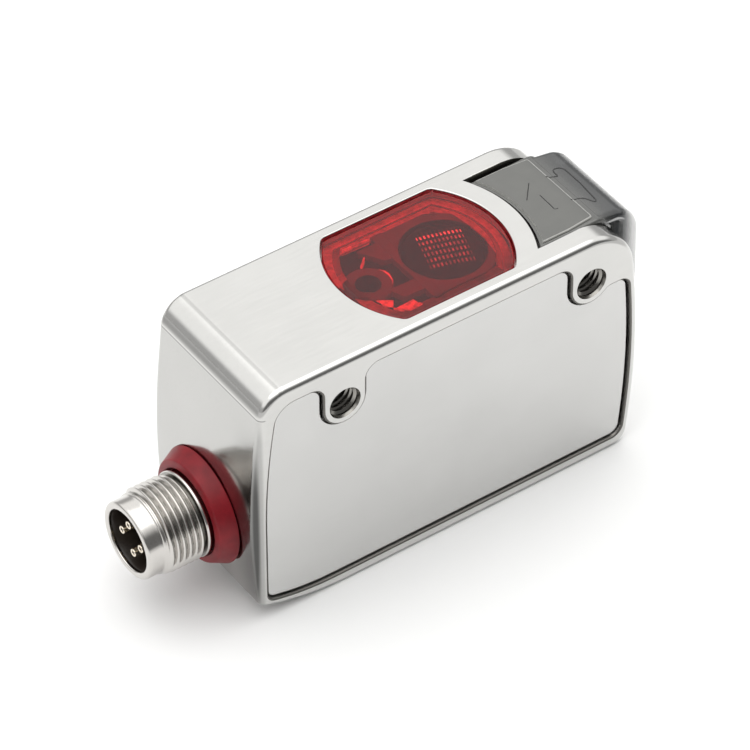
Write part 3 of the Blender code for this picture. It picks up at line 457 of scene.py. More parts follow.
body_steel = steel("satin_steel", (0.63, 0.625, 0.61), 0.14, 0.08, 0.0007, (0.1, 1.0, 1.0), 0.3, 0.0003,
                   painted_end_shade)
plate_steel = steel("plate_steel", (0.61, 0.607, 0.597), 0.2, 0.07, 0.0005, (0.06, 1.0, 1.0), 0.16, 0.0007)
turned_steel = steel("turned_steel", (0.62, 0.6, 0.575), 0.16, 0.06, 0.0006, (1.0, 0.05, 0.05), 0.09, 0.0012)
# Darker copies for holes and the channel, seams and pockets: painted shade.
hole_shade_steel = painted_shade_steel("hole_shade_steel", (0.3, 0.29, 0.27), 0.22)
seam_shadow_steel = painted_shade_steel("seam_shadow_steel", (0.15, 0.145, 0.135), 0.3)
pocket_shade_steel = painted_shade_steel("pocket_shade_steel", (0.52, 0.51, 0.49), 0.3)
print("steel finishes:", body_steel.name, plate_steel.name, turned_steel.name, hole_shade_steel.name)

# %% [markdown]
# ## The body
#
# The real body is one casting: gently bowed ends, a back that rises towards the plug, a soft edge all
# round both sides, and a pocket in each side that runs round an ear at each fixing hole. It is drawn
# as a side view, extruded across the width, rounded, and then carved.

# %% Sizes of the body
HALF = 7.5
TOP = 4.6
PITCH = 25.4
PLUG_FACE = -9.27
CAP_FACE = 30.72
BOW = 78.0
BOW_LEVEL = -9.75
PLUG_LEVEL = -12.35
HEEL_RADIUS, POCKET_HEEL_RADIUS = 24.0, 23.5
HEEL_TURN = math.asin(7.814 / HEEL_RADIUS)
POCKET_HEEL_TURN = math.asin(5.884 / POCKET_HEEL_RADIUS)


def bowed(face, outwards, level, half):
    """Where the straight flank of a bowed end lies at a level."""
    lean = math.atan(half / BOW)
    return face + outwards * (BOW / math.cos(lean) - BOW - abs(level - BOW_LEVEL) * math.tan(lean))


def body_corners():
    """Side view of the body, corner by corner."""
    heel = 0.3 - HEEL_RADIUS * math.tan(HEEL_TURN / 2)
    rise = math.tan(HEEL_TURN)
    half = BOW_LEVEL - (BACK_LEVEL + (heel - PLUG_FACE) * rise) - 0.9 - 0.1
    cap_half = TOP - BOW_LEVEL - 5.0 - 0.1
    crest = bowed(PLUG_FACE, -1, BOW_LEVEL, half)
    lean = half / BOW
    foot = (crest + (BOW_LEVEL - BACK_LEVEL - rise * heel) * lean) / (1 - rise * lean)
    return [
        (bowed(PLUG_FACE, -1, TOP, half), TOP, 2.7),
        (bowed(CAP_FACE, 1, TOP, cap_half), TOP, 5.0),
        (bowed(CAP_FACE, 1, BOW_LEVEL, cap_half), BOW_LEVEL, BOW),
        (bowed(CAP_FACE, 1, BACK_LEVEL, cap_half), BACK_LEVEL, 1.6),
        (heel, BACK_LEVEL, HEEL_RADIUS),
        (foot, BACK_LEVEL + (heel - foot) * rise, 0.9),
        (crest, BOW_LEVEL, BOW),
    ]


def pocket_corners():
    """Side view of a side pocket, which runs round an ear at each fixing hole."""
    left, right, top, back, ear = PLUG_FACE + 1.34, CAP_FACE - 0.85, TOP - 1.75, BACK_LEVEL + 1.25, 2.15
    shoulder, half = -1.25, 7.3
    leave = PITCH + ear * math.tan(math.radians(22.5))
    heel = -1.1 - POCKET_HEEL_RADIUS * math.tan(POCKET_HEEL_TURN / 2)
    return [
        (left + (top + 5.0) * math.tan(math.radians(9.0)), top, 2.0),
        (-ear, top, 1.3), (-ear, -ear, ear), (ear, -ear, ear), (ear, top, 1.3),
        (PITCH - ear, top, 1.3), (PITCH - ear, -ear, ear), (leave, -ear, ear),
        (leave + shoulder + ear, shoulder, 0.9),
        (bowed(right, 1, shoulder, half), shoulder, 1.1),
        (bowed(right, 1, BOW_LEVEL, half), BOW_LEVEL, BOW),
        (bowed(right, 1, back, half), back, 1.1),
        (heel, back, POCKET_HEEL_RADIUS),
        (left, back + (heel - left) * math.tan(POCKET_HEEL_TURN), 0.9),
        (left, -5.0, 70.0),
    ]


print("pocket corners:", len(pocket_corners()))

# %% [markdown]
# ## Cutting tools for the body
#
# Each hollow of the casting has its own tool: two side pockets, the room for the boards, the seat of
# the red pane, the channel of the cap, the lamp opening, the plug hole and two threaded holes. The
# thread in the holes is cut by a tool with the same ribs as a screw, so its turns catch the light.

# %% Tools
WINDOW_X, WINDOW_HALF, WINDOW_SIDE, WINDOW_BOW = 12.7, 8.02, 6.15, 8.98
CHANNEL_SIDE, CHANNEL_BOW, CHANNEL_FLOOR, CHANNEL_END = 5.35, 10.9, 2.6, 29.9
BOW_CENTRE = WINDOW_X + WINDOW_HALF - WINDOW_BOW
PAST_CAP = 34.0


def bowed_end(shape, centre, reach, spread):
    """An arc of vertices round a centre. Returns its first and last vertex."""
    first = shape.verts.new(centre + Matrix.Rotation(-spread, 3, "Z") @ Vector((reach, 0, 0)))
    spun = bmesh.ops.spin(shape, geom=[first], cent=centre, axis=(0, 0, 1), angle=2 * spread, steps=48)
    return first, [v for v in spun["geom_last"] if isinstance(v, bmesh.types.BMVert)][0]


def draw_bowed_ends(shape, level, trim=0.0):
    """Top view of the red pane, trimmed all round: two straight sides and two bowed ends."""
    spread = math.asin((WINDOW_SIDE - trim) / (WINDOW_BOW - trim))
    ends = []
    for outwards in (1, -1):
        centre = Vector((WINDOW_X + outwards * (WINDOW_HALF - WINDOW_BOW), 0, level))
        ends.append(bowed_end(shape, centre, outwards * (WINDOW_BOW - trim), spread))
    shape.edges.new((ends[0][1], ends[1][0]))
    shape.edges.new((ends[1][1], ends[0][0]))
    return bmesh.ops.contextual_create(shape, geom=shape.edges[:])["faces"][0]


def pane_block(trim, low, high, top=0.0, corner=0.0):
    """A block with the pane's outline, trimmed all round."""
    shape = bmesh.new()
    end = push(shape, draw_bowed_ends(shape, low, trim), high - low, "XY")
    close_up(shape)
    if corner:
        upright = [edge for edge in shape.edges if abs(edge.verts[0].co.z - edge.verts[1].co.z) > 0.01
                   and edge.calc_face_angle(0) > math.radians(20)]
        round_edges(shape, upright, corner, 5)
        end = max(shape.faces, key=lambda f: f.calc_center_median().z)
    if top:
        round_edges(shape, end.edges, top, 4)
    return close_up(shape)


def channel_block(low, high):
    """The cap's channel: its inner end follows the pane's bow."""
    shape = bmesh.new()
    spread = math.asin(CHANNEL_SIDE / CHANNEL_BOW)
    centre = Vector((BOW_CENTRE, 0, low))
    first, last = bowed_end(shape, centre, CHANNEL_BOW, spread)
    far = [shape.verts.new((PAST_CAP, side * CHANNEL_SIDE, low)) for side in (1, -1)]
    for pair in ((last, far[0]), (far[0], far[1]), (far[1], first)):
        shape.edges.new(pair)
    push(shape, bmesh.ops.contextual_create(shape, geom=shape.edges[:])["faces"][0], high - low, "XY")
    return close_up(shape)


def thread_tool(x):
    """A tool for an M3 hole: chamfered mouths, ribbed near both ends and plain between."""
    crest, root, pitch, turns, chamfer = 1.24, 1.47, 0.5, 7, 0.31
    side = [(crest + chamfer + 0.8, HALF + 0.8), (crest + chamfer, HALF)]
    level = HALF - chamfer
    side.append((root - 0.03, level + 0.04))
    for turn in range(turns):
        foot = level - turn * pitch
        side += [(root, foot - 0.06), (root, foot - 0.16), (crest, foot - 0.33), (crest, foot - 0.41)]
    mirrored = [(radius, -height) for radius, height in reversed(side)]
    return turned([(0, HALF + 0.8)] + side + mirrored + [(0, -HALF - 0.8)], (x, 0, 0), "Y", steps=64)


print("tools ready")

# %% [markdown]
# ## Carving the body
#
# The real casting gets its hollows from cores and its holes from a drill. Here one list of tools does
# both. The side edges are rounded first, while the block is still simple. The finishes are numbered:
# 0 is the outside, 1 the holes and the channel, 2 the seams round the covers, 3 the pockets.

# %% Carve the body
# Holes and the channel, seams and pockets take darker steel: painted shade.
IN_HOLE, IN_SEAM, IN_POCKET = 1, 2, 3
SIDE_ROUNDING, POCKET_FLOOR, ROOM_HALF = 0.62, 6.15, 6.4
body_shape = prism(body_corners(), "XZ", -HALF, HALF, top=SIDE_ROUNDING, bottom=SIDE_ROUNDING,
                   segments=8)
pocket = pocket_corners()
body_shape = carve(body_shape, [
    ("DIFFERENCE", marked(prism(pocket, "XZ", -HALF - 1, -POCKET_FLOOR), IN_POCKET)),
    ("DIFFERENCE", marked(prism(pocket, "XZ", POCKET_FLOOR, HALF + 1), IN_POCKET)),
    ("DIFFERENCE", prism(pocket, "XZ", -ROOM_HALF, ROOM_HALF, trim=0.7)),
    ("DIFFERENCE", pane_block(0.0, 2.95, TOP + 1, corner=0.35)),
    ("DIFFERENCE", pane_block(0.9, 1.9, 3.2)),
    ("DIFFERENCE", marked(channel_block(CHANNEL_FLOOR, TOP + 1), IN_HOLE)),
    ("DIFFERENCE", marked(block((CHANNEL_END, -CHANNEL_SIDE, -5.45), (PAST_CAP, CHANNEL_SIDE, TOP + 1)),
                          IN_HOLE)),
    ("DIFFERENCE", block((28.55, -2.6, -4.6), (32.4, 2.6, -2.1))),
    ("DIFFERENCE", turned([(0, 6.93), (3.9, 6.93), (3.9, 10.27), (0, 10.27)], (0, 0, PLUG_LEVEL), "-X")),
    ("DIFFERENCE", marked(thread_tool(0.0), IN_HOLE)),
    ("DIFFERENCE", marked(thread_tool(PITCH), IN_HOLE)),
])
print("body after carving:", len(body_shape.faces), "faces")

# %% [markdown]
# ## Breaking the edges
#
# A casting has no knife edges. The mouths of the pockets, of the pane's seat and of the cap's channel
# get a small bevel, found by asking each edge where it lies. The bevels round the covers take a dark
# colour, a painted shadow line, which draws the thin line that the covers show.

# %% Round the mouths
def mouth_edges(shape, test):
    """Sharp edges whose two ends both pass a test."""
    return [edge for edge in shape.edges if len(edge.link_faces) == 2
            and edge.calc_face_angle(0) > math.radians(50) and all(test(v.co) for v in edge.verts)]


def on_side(co):
    """On one of the two flat sides, but not at a fixing hole, which has its own chamfer."""
    return abs(abs(co.y) - HALF) < 0.002 and min(math.hypot(co.x - x, co.z) for x in (0.0, PITCH)) > 1.8


def on_top(co):
    """On the top face, in the middle of the body."""
    return abs(co.z - TOP) < 0.002


# The seam bevels take the dark colour: a painted shadow line.
for face in round_edges(body_shape, mouth_edges(body_shape, on_side), 0.17, 4):
    face.material_index = IN_SEAM
round_edges(body_shape, mouth_edges(body_shape, on_top), 0.1, 3)
hand_over("steel_body", body_shape, [body_steel, hole_shade_steel, seam_shadow_steel, pocket_shade_steel],
          ["housing"])

# %% [markdown]
# ## The cover plates
#
# Each cover is laser-cut sheet that drops into its pocket. It has the pocket's outline, trimmed all
# round, so it always fits, and a tiny bevel on its outer rim catches the light.

# %% Cover plates
PLATE_INSIDE, PLATE_OUTSIDE, PLATE_TRIM, PLATE_RIM = 6.4, 7.2, 0.18, 0.07
near_shape = prism(pocket, "XZ", -PLATE_OUTSIDE, -PLATE_INSIDE, bottom=PLATE_RIM, trim=PLATE_TRIM)
hand_over("near_plate", near_shape, plate_steel, ["near_side_cover"])
far_shape = prism(pocket, "XZ", PLATE_INSIDE, PLATE_OUTSIDE, top=PLATE_RIM, trim=PLATE_TRIM)
hand_over("far_plate", far_shape, plate_steel, ["far_side_cover"])

# %% [markdown]
# ## Red plastics
#
# The pane is clear red acrylic. Light goes through it, loses its green and blue, and comes back off
# what lies below. Its top rim is painted darker, painted shade, and its side walls are painted a bright
# red glow, painted light, so both have a finish of their own. A few fine scratches and a slightly wavy
# surface keep it from looking like glass. The ring on the plug is opaque red rubber-like plastic with a matt
# skin.

# %% Red finishes
red_pane_finish, value = start_finish("red_pane", IOR=1.42, Transmission_Weight=1.0, Roughness=0.03)
wave = noise(value, place(value), 2.5, 2.0)
scratch = noise(value, place(value, scale=(0.1, 1.6, 1.0), turn=(0, 0, 0.5)), 0.12, 2.0)
feed(red_pane_finish, Base_Color=wave.blend(linear(0.84, 0.05, 0.06), linear(0.9, 0.065, 0.07)),
     Roughness=scratch.smooth(0.55, 0.75) * 0.05 + 0.02, Normal=bump(value, wave, 0.004))

# Dark red for the rounded top rim: painted shade.
rim_shade_red_finish = mottled("red_pane_rim_shade", (0.16, 0.002, 0.008), (0.34, 0.008, 0.016), 0.6, (0.08, 0.18), 3.0,
                         contrast=True, IOR=1.4, Roughness=0.12, Transmission_Weight=0.35)
# Bright red for the side walls: painted light, a glow.
band_glow_finish = mottled("red_pane_band_glow", (0.6, 0.02, 0.035), (0.95, 0.1, 0.12), 0.9, (0.2, 0.5), 3.0,
                      contrast=True, stretch=(1.0, 1.0, 3.0), Roughness=0.35)

ring_finish, value = start_finish("ring_red", Roughness=0.38, Specular_IOR_Level=0.3)
skin = noise(value, place(value), 0.07, 3.0, 0.6)
cloud = noise(value, place(value), 1.6, 2.0)
feed(ring_finish, Base_Color=(skin * 0.4 + cloud * 0.6).smooth(0.3, 0.7)
     .blend(linear(0.15, 0.003, 0.008), linear(0.25, 0.007, 0.014)),
     Roughness=(skin - 0.5) * 0.2 + 0.42, Normal=bump(value, skin, 0.006))
print("red finishes ready")

# %% [markdown]
# ## Dark plastics
#
# Behind the pane sits a dark moulded carrier. It is matt with a faint spark-eroded texture. Its pits
# are painted nearly black, painted shade. The plug's pin carrier, the chips and the seal are dark
# plastics too, so one function makes them all.

# %% Dark finishes
def dark_plastic(name, colour, roughness, grain, depth, **constants):
    """Moulded plastic with a spark-eroded skin and slightly uneven gloss."""
    material, value = start_finish(name, Roughness=roughness, IOR=1.5, **constants)
    skin = noise(value, place(value), grain, 3.0, 0.6)
    cloud = noise(value, place(value), 2.2, 2.0)
    lighter = tuple(min(1.0, 1.35 * part + 0.004) for part in colour)
    tone = (skin * 0.5 + cloud * 0.5).smooth(0.3, 0.7)
    feed(material, Base_Color=tone.blend(linear(*colour), linear(*lighter)),
         Roughness=(skin - 0.5) * 0.16 + (cloud - 0.5) * 0.08 + roughness, Normal=bump(value, skin, depth))
    return material


carrier_finish = dark_plastic("dark_carrier", (0.13, 0.1, 0.1), 0.6, 0.09, 0.003, Specular_IOR_Level=0.2)
pit_shade_finish = dark_plastic("dark_pit_shade", (0.006, 0.005, 0.005), 0.7, 0.08, 0.003, Specular_IOR_Level=0.1)
insert_finish = dark_plastic("insert_black", (0.014, 0.009, 0.006), 0.36, 0.08, 0.004,
                             Specular_IOR_Level=0.35)
chip_finish = dark_plastic("chip_black", (0.018, 0.018, 0.02), 0.5, 0.05, 0.004)
rubber_finish = dark_plastic("seal_rubber", (0.022, 0.022, 0.022), 0.7, 0.06, 0.006)
print("dark finishes ready")

# %% [markdown]
# ## Seal, lens and bright metal
#
# A pale silicone bead seals the pane and brightens its rim from below; its near side is painted darker,
# painted shade. The lens is nearly black but for painted glints off its facets: a grid of dashes from
# two repeating ramps, one across and one along, brighter towards one end. The glints glow a little, as
# do the small bright parts, painted light, because the pane swallows most of the light on its way in and out.

# %% Silicone, lens and bright parts
bead_finish, value = start_finish("pale_silicone", Roughness=0.5, IOR=1.4)
where = place(value)
# Darker towards the near side: painted shade.
near_side_shade = coordinate(value, where, 1).smooth(-5.5, -1.5, 0.25, 1.0)
ripple = noise(value, where, 0.5, 3.0, 0.6).smooth(0.25, 0.75, 0.5, 1.0)
feed(bead_finish, Base_Color=(near_side_shade * ripple).blend(linear(0.03, 0.01, 0.01), linear(0.85, 0.72, 0.7)),
     Roughness=ripple * 0.2 + 0.35, Normal=bump(value, ripple, 0.02))

lens_finish, value = start_finish("array_lens", Roughness=0.3, Specular_IOR_Level=0.02, Emission_Strength=1.0)
where = place(value, turn=(0, 0, math.radians(17.5)), centre=(15.55, 0.0, 0))
across = coordinate(value, where, 0)
along = coordinate(value, where, 1)
COLUMN, ROW = 0.36, 0.74
column = ((across * (1 / COLUMN) + 100.0).maths("FRACT") - 0.5).maths("ABSOLUTE")
row = ((along * (1 / ROW) + 100.02).maths("FRACT") - 0.5).maths("ABSOLUTE")
# Painted glints: a grid of dashes that the colour and the glow light up.
dash = column.smooth(0.12, 0.3, 1.0, 0.0) * row.smooth(0.15, 0.38, 1.0, 0.0)
inside = across.maths("ABSOLUTE").smooth(1.95, 2.0, 1.0, 0.0)
inside = inside * along.maths("ABSOLUTE").smooth(2.3, 2.4, 1.0, 0.0)
# Brighter towards one end: painted light.
bright = along.smooth(-2.2, 2.0, 0.38, 0.6) + along.smooth(1.6, 1.7) * 0.9
flicker = noise(value, where, 0.45, 1.0).smooth(0.3, 0.75, 0.35, 1.0)
glow = dash * inside * bright * flicker
feed(lens_finish, Base_Color=glow.blend(linear(0.003, 0.003, 0.003), linear(0.9, 0.75, 0.7)),
     Emission_Color=glow.blend(linear(0, 0, 0), linear(1.0, 0.6, 0.5)),
     Roughness=glow * 0.3 + 0.3)

# Pale colour and a reddish glow on parts that are no lamps: painted glints, painted light.
glint_finish, value = start_finish("painted_glint", Roughness=0.3, Emission_Strength=0.7)
patch = noise(value, place(value), 0.5, 3.0, 0.6).smooth(0.3, 0.7)
feed(glint_finish, Base_Color=patch.blend(linear(0.45, 0.4, 0.38), linear(0.9, 0.85, 0.8)),
     Emission_Color=patch.blend(linear(0.25, 0.06, 0.05), linear(0.95, 0.3, 0.25)),
     Roughness=patch * 0.2 + 0.25)
print("lens grid, mm:", COLUMN, ROW)

# %% [markdown]
# ## The red pane
#
# The pane is a shallow tray turned upside down. Its top edge is rounded, and the inner wall slopes, so
# seen from above the wall shows as a band that runs round the dark middle. The band's bright red is
# painted light, and the rounded edge's dark red is painted shade.

# %% Pane
ON_RIM, ON_BAND = 1, 2


def hollow(low, high, wide, narrow):
    """A tool whose walls slope inwards as it rises."""
    shape = bmesh.new()
    end = push(shape, draw_bowed_ends(shape, low, wide), high - low, "XY")
    centre = Vector((WINDOW_X, 0, high))
    reach = narrow - wide
    sx, sy = 1 - reach / (WINDOW_HALF - wide), 1 - reach / (WINDOW_SIDE - wide)
    bmesh.ops.scale(shape, vec=(sx, sy, 1), verts=list(end.verts), space=Matrix.Translation(-centre))
    return close_up(shape)


pane_shape = pane_block(0.12, 3.2, 4.45, top=0.25, corner=0.4)
pane_shape = carve(pane_shape, [("DIFFERENCE", hollow(2.9, 3.75, 0.7, 1.5))])
pane_shape.normal_update()
# Rounded rim faces take the painted shade, steep wall faces the painted glow.
for face in pane_shape.faces:
    outwards = (face.calc_center_median() - Vector((WINDOW_X, 0, 3.8))).dot(face.normal) > 1.0
    if outwards and abs(face.normal.z) < 0.8 and face.calc_center_median().z > 3.3:
        face.material_index = ON_RIM if abs(face.normal.z) > 0.2 else ON_BAND
hand_over("red_pane", pane_shape, [red_pane_finish, rim_shade_red_finish, band_glow_finish],
          ["front_window"])
bead_shape = pane_block(0.25, 2.97, 3.16, top=0.06, corner=0.3)
bead_shape = carve(bead_shape, [("DIFFERENCE", pane_block(1.6, 2.5, 3.5))])
hand_over("pane_bead", bead_shape, bead_finish)

# %% [markdown]
# ## What shows under the pane
#
# Under the red plastic lie a boss with the laser's exit hole, a dividing wall that keeps the laser's
# light away from the receiver, and the round receiver lens. The carrier is a block with a neck that
# reaches up into the pane. Its pits are cut from above.

# %% Carrier
EMITTER = (7.6, 0, 0)
RECEIVER = (15.3, 0, 0)
RAISED_PARTS = [
    (3.38, [(11.1, 4.75, 0.1), (12.25, 4.75, 0.1), (12.1, -4.8, 0.1), (11.2, -4.8, 0.1)]),
    (3.34, [(9.0, 3.95, 0.15), (11.5, 3.9, 0.1), (11.5, 1.4, 0.1), (10.4, 1.7, 0.3), (9.9, 2.7, 0.3)]),
    (3.34, [(8.6, -1.5, 0.2), (11.3, -1.6, 0.1), (11.3, -3.1, 0.1), (9.2, -3.0, 0.3)]),
    (3.3, [(12.0, 4.7, 0.1), (16.6, 4.7, 0.8), (18.6, 3.4, 1.0), (19.1, 0.0, 3.0), (18.6, -3.4, 1.0),
           (16.6, -4.7, 0.8), (12.0, -4.7, 0.1)]),
]
laser_boss = turned([(0, 2.6), (2.12, 2.6), (2.12, 3.28), (2.0, 3.38), (0, 3.38)], EMITTER)
receiver_pit = turned([(0, 3.6), (3.8, 3.6), (3.8, 2.4), (3.0, 2.4), (3.0, -9.8), (0, -9.8)], RECEIVER)
laser_pit = turned([(0, 3.6), (1.16, 3.6), (1.1, 3.3), (1.1, 1.5), (2.55, 1.5), (2.55, -9.8), (0, -9.8)],
                   EMITTER)
screw_holes = [turned([(0, -6.7), (0.95, -6.7), (0.95, -9.8), (0, -9.8)], (10.9, side, 0), steps=32)
               for side in (4.2, -4.2)]
joined = [marked(pane_block(1.2, 1.65, 2.75)), laser_boss]
joined += [prism(corners, "XY", 2.6, high, top=0.06) for high, corners in RAISED_PARTS]
# The pits take the near-black finish: painted shade.
cut = [marked(receiver_pit), marked(laser_pit)] + screw_holes
carrier_shape = carve(marked(block((3.9, -5.6, -8.85), (21.5, 5.6, 1.9), 0.3)),
                      [("UNION", tool) for tool in joined] + [("DIFFERENCE", tool) for tool in cut])
hand_over("optics_carrier", carrier_shape, [carrier_finish, pit_shade_finish], ["optics_holder"])

# %% [markdown]
# ## The receiver lens and the bright parts
#
# The lens is a shallow moulded dome, so its profile is a quarter of a flat ellipse spun once. Round the
# laser lie a few tiny bright pieces: stamped springs and clips, and two thin lines that stand only for
# glints, painted highlight. All glow a little, painted light. Each is a thin prism with rounded corners.

# %% Receiver lens and the small bright parts round the laser
LENS_RADIUS, LENS_BASE, LENS_RISE = 3.55, 3.0, 0.4
quarter = [math.radians(angle) for angle in range(0, 91, 6)]
dome = [(LENS_RADIUS * math.sin(a), LENS_BASE + LENS_RISE * math.cos(a)) for a in quarter]
lens_shape = turned(dome + [(LENS_RADIUS, 2.65), (0, 2.65)], RECEIVER, steps=128)
hand_over("receiver_dome", lens_shape, lens_finish, ["receiver_lens"], weighted=False)
# Small bright pieces that stand for glints under the pane; the two thin lines are painted highlight only.
BRIGHT_PARTS = {
    "laser_clip_glint": [(9.4, 1.05), (9.75, 0.65), (9.85, 0.05), (9.65, -0.75), (9.15, -1.3), (9.35, -0.6),
                   (9.5, 0.1)],
    "clip_foot_glint": [(7.0, -2.0), (8.2, -2.8), (7.7, -3.5), (6.95, -2.9)],
    "side_spring_glint": [(7.4, -3.75), (9.6, -3.65), (9.85, -4.8), (8.6, -4.85)],
    "long_highlight_line": [(8.3, 4.85), (11.0, 4.74), (11.0, 4.62), (8.3, 4.73)],
    "short_highlight_line": [(8.34, 2.2), (9.25, 3.02), (9.33, 2.93), (8.42, 2.11)],
}
for name, corners in BRIGHT_PARTS.items():
    part_shape = prism([(x, y, 0.03) for x, y in corners], "XY", 2.7, 3.36, top=0.025)
    hand_over(name, part_shape, glint_finish)

# %% [markdown]
# ## Smoked plastic
#
# The cap is smoke-grey clear plastic. It hides the lamps until they light. Seen from outside it is a
# glossy grey with a lighter border round its raised field, a painted highlight, and near-black sides
# below the field, a painted shadow. Along its length its colour is painted darker, painted shade, and
# then it lightens and lets more light through, up to the nose.

# %% Smoked finish
smoke_finish, value = start_finish("smoked_plastic", IOR=1.5, Transmission_Weight=0.25, Roughness=0.1,
                                   Coat_Weight=0.5, Coat_Roughness=0.04)
cloud = noise(value, place(value), 2.0, 2.0)
skin = noise(value, place(value), 0.09, 2.0)
length = coordinate(value, place(value), 0)
# Darker along the length: painted shade; lighter again at the nose.
shade = length.smooth(26.5, 30.0) * 0.8 + cloud * 0.2 - length.smooth(30.8, 32.3) * 0.9
feed(smoke_finish, Base_Color=shade.blend(linear(0.155, 0.155, 0.144), linear(0.01, 0.012, 0.015)),
     Roughness=(skin - 0.5) * 0.08 + 0.1, Normal=bump(value, skin * 0.6 + cloud * 0.4, 0.002),
     Alpha=length.smooth(30.4, 31.9, 1.0, 0.32))

# Near-black sides below the field: painted shadow.
shadow_smoke = mottled("smoked_plastic_edge_shadow", (0.008, 0.008, 0.008), (0.022, 0.022, 0.022), 0.4,
                       (0.15, 0.35), IOR=1.5, Roughness=0.25)
# Lighter border round the field: painted highlight.
border_highlight_smoke = mottled("smoked_plastic_border_highlight", (0.26, 0.26, 0.245), (0.42, 0.42, 0.4), 0.5, (0.15, 0.35),
                     IOR=1.5, Roughness=0.2, Coat_Weight=0.4)
print("smoked finishes ready")

# %% [markdown]
# ## The cap
#
# The cap lies in the channel and turns down over the end of the body. It is drawn in side view, rounded
# at its sides, cut to the channel's bow and hollowed behind the lamps. A raised field on top ends at a
# ridge, and a thin raised line runs over that ridge.

# %% Cap
CAP_SIDE, RIDGE, CAP_END, CAP_TOP = 5.1, 27.6, 32.4, 4.3
FIELD_RISE = 0.16
ON_EDGE, ON_BORDER = 1, 2


def bow_cutter(outer):
    """A turned tool that follows the pane's bow, from its (gap to the channel, height) points."""
    rim = [(CHANNEL_BOW + gap, height) for gap, height in outer]
    return turned([(0, rim[0][1])] + rim + [(0, rim[-1][1])], (BOW_CENTRE, 0, 0), steps=256)


cap_shape = prism([(20.0, CAP_TOP, 0), (RIDGE, CAP_TOP, 1.5), (CAP_END, TOP - 1.1, 2.8), (CAP_END, -5.2, 0.8),
                   (30.15, -5.2, 0), (30.15, 2.85, 0.6), (20.0, 2.85, 0)],
                  "XZ", -CAP_SIDE, CAP_SIDE, top=0.7, bottom=0.7, segments=5)
panel = prism([(20.5, 4.85, 0.1), (25.0, 4.85, 2.0), (RIDGE - 0.05, 4.6, 0.3), (RIDGE - 0.05, -4.6, 0.3),
               (25.0, -4.85, 2.0), (20.5, -4.85, 0.1)], "XY", 3.6, CAP_TOP + FIELD_RISE, top=0.14)
panel = carve(panel, [("DIFFERENCE", bow_cutter([(0.5, 2.0), (0.5, 4.2), (0.8, 5.0)]))])
shoulders = prism([(20.0, CAP_TOP - 0.02, 0), (28.9, CAP_TOP - 0.02, 1.2), (28.9, 2.9, 0), (20.0, 2.9, 0)],
                  "XZ", -CAP_SIDE - 0.03, CAP_SIDE + 0.03, top=0.3, bottom=0.3)
shoulders = carve(shoulders, [("DIFFERENCE", bow_cutter([(0.3, 2.0), (0.3, 5.5)]))])
cap_shape = carve(cap_shape, [
    ("UNION", panel),
    ("DIFFERENCE", bow_cutter([(0.28, 2.0), (0.28, 5.5)])),
    ("DIFFERENCE", block((29.0, -3.8, -4.6), (31.15, 3.8, 1.5))),
])
for vert in cap_shape.verts:
    reach = max(0.0, (vert.co.x - 29.5) / (CAP_END - 29.5)) ** 2
    if vert.co.x > 31.2 or vert.co.z > 2.9:
        vert.co.y *= 1 - 0.04 * reach * max(0.0, min(1.0, (vert.co.z + 1.0) / 4.0))
        vert.co.z -= 0.35 * reach * max(0.0, min(1.0, vert.co.z / 3.0))
cap_shape.normal_update()
# Faces below the field take the painted shadow, the field's bevelled border the painted highlight.
for face in cap_shape.faces:
    middle = face.calc_center_median()
    if middle.x < RIDGE - 0.1 and middle.z < CAP_TOP - 0.6:
        face.material_index = ON_EDGE
    else:
        face.material_index = 0
    on_field = CAP_TOP + 0.01 < middle.z < CAP_TOP + FIELD_RISE - 0.001 and middle.x < RIDGE + 0.1
    if on_field and face.normal.z < 0.97:
        face.material_index = ON_BORDER
hand_over("smoke_cap", cap_shape, [smoke_finish, shadow_smoke, border_highlight_smoke],
          ["indicator_cap"])
hand_over("cap_shoulders", shoulders, smoke_finish)

# %% [markdown]
# ## Marks on the cap
#
# The moulded cap carries a thin raised line and two short strokes. Each is a curve with a round bevel
# that follows the height of the cap. Its corners are softened by averaging neighbouring points.

# %% Raised line and moulded strokes on the cap
LINE_STEP, SUNK_PART = 0.12, 0.4


def cap_height(x):
    """Height of the cap's top surface at a length."""
    slope = max(0.0, x - RIDGE) * (CAP_TOP - TOP + 1.1) / (CAP_END - RIDGE)
    return CAP_TOP + FIELD_RISE if x < RIDGE - 0.1 else CAP_TOP - slope


def raised_line(name, path, thickness):
    """A thin rounded line that lies on the cap along a path, sunk a little into it."""
    points = []
    for (x0, y0), (x1, y1) in zip(path, path[1:]):
        count = max(1, math.ceil(math.hypot(x1 - x0, y1 - y0) / LINE_STEP))
        points += [(x0 + (x1 - x0) * step / count, y0 + (y1 - y0) * step / count) for step in range(count)]
    points.append(path[-1])
    inner = [tuple((before[k] + 2 * point[k] + after[k]) / 4 for k in (0, 1))
             for before, point, after in zip(points, points[1:], points[2:])]
    smooth = [points[0]] + inner + [points[-1]]
    curve = bpy.data.curves.new(name, "CURVE")
    curve.dimensions = "3D"
    curve.bevel_depth = thickness
    curve.bevel_resolution = 3
    curve.use_fill_caps = True
    spline = curve.splines.new("POLY")
    spline.points.add(len(smooth) - 1)
    for point, (x, y) in zip(spline.points, smooth):
        point.co = (x, y, cap_height(x) - thickness * SUNK_PART, 1)
    guide = bpy.data.objects.new(name, curve)
    bpy.context.scene.collection.objects.link(guide)
    bpy.context.view_layer.update()
    shown = guide.evaluated_get(bpy.context.evaluated_depsgraph_get())
    shape = bmesh.new()
    shape.from_mesh(bpy.data.meshes.new_from_object(shown))
    bpy.data.objects.remove(guide)
    hand_over(name, close_up(shape), shadow_smoke, weighted=False)


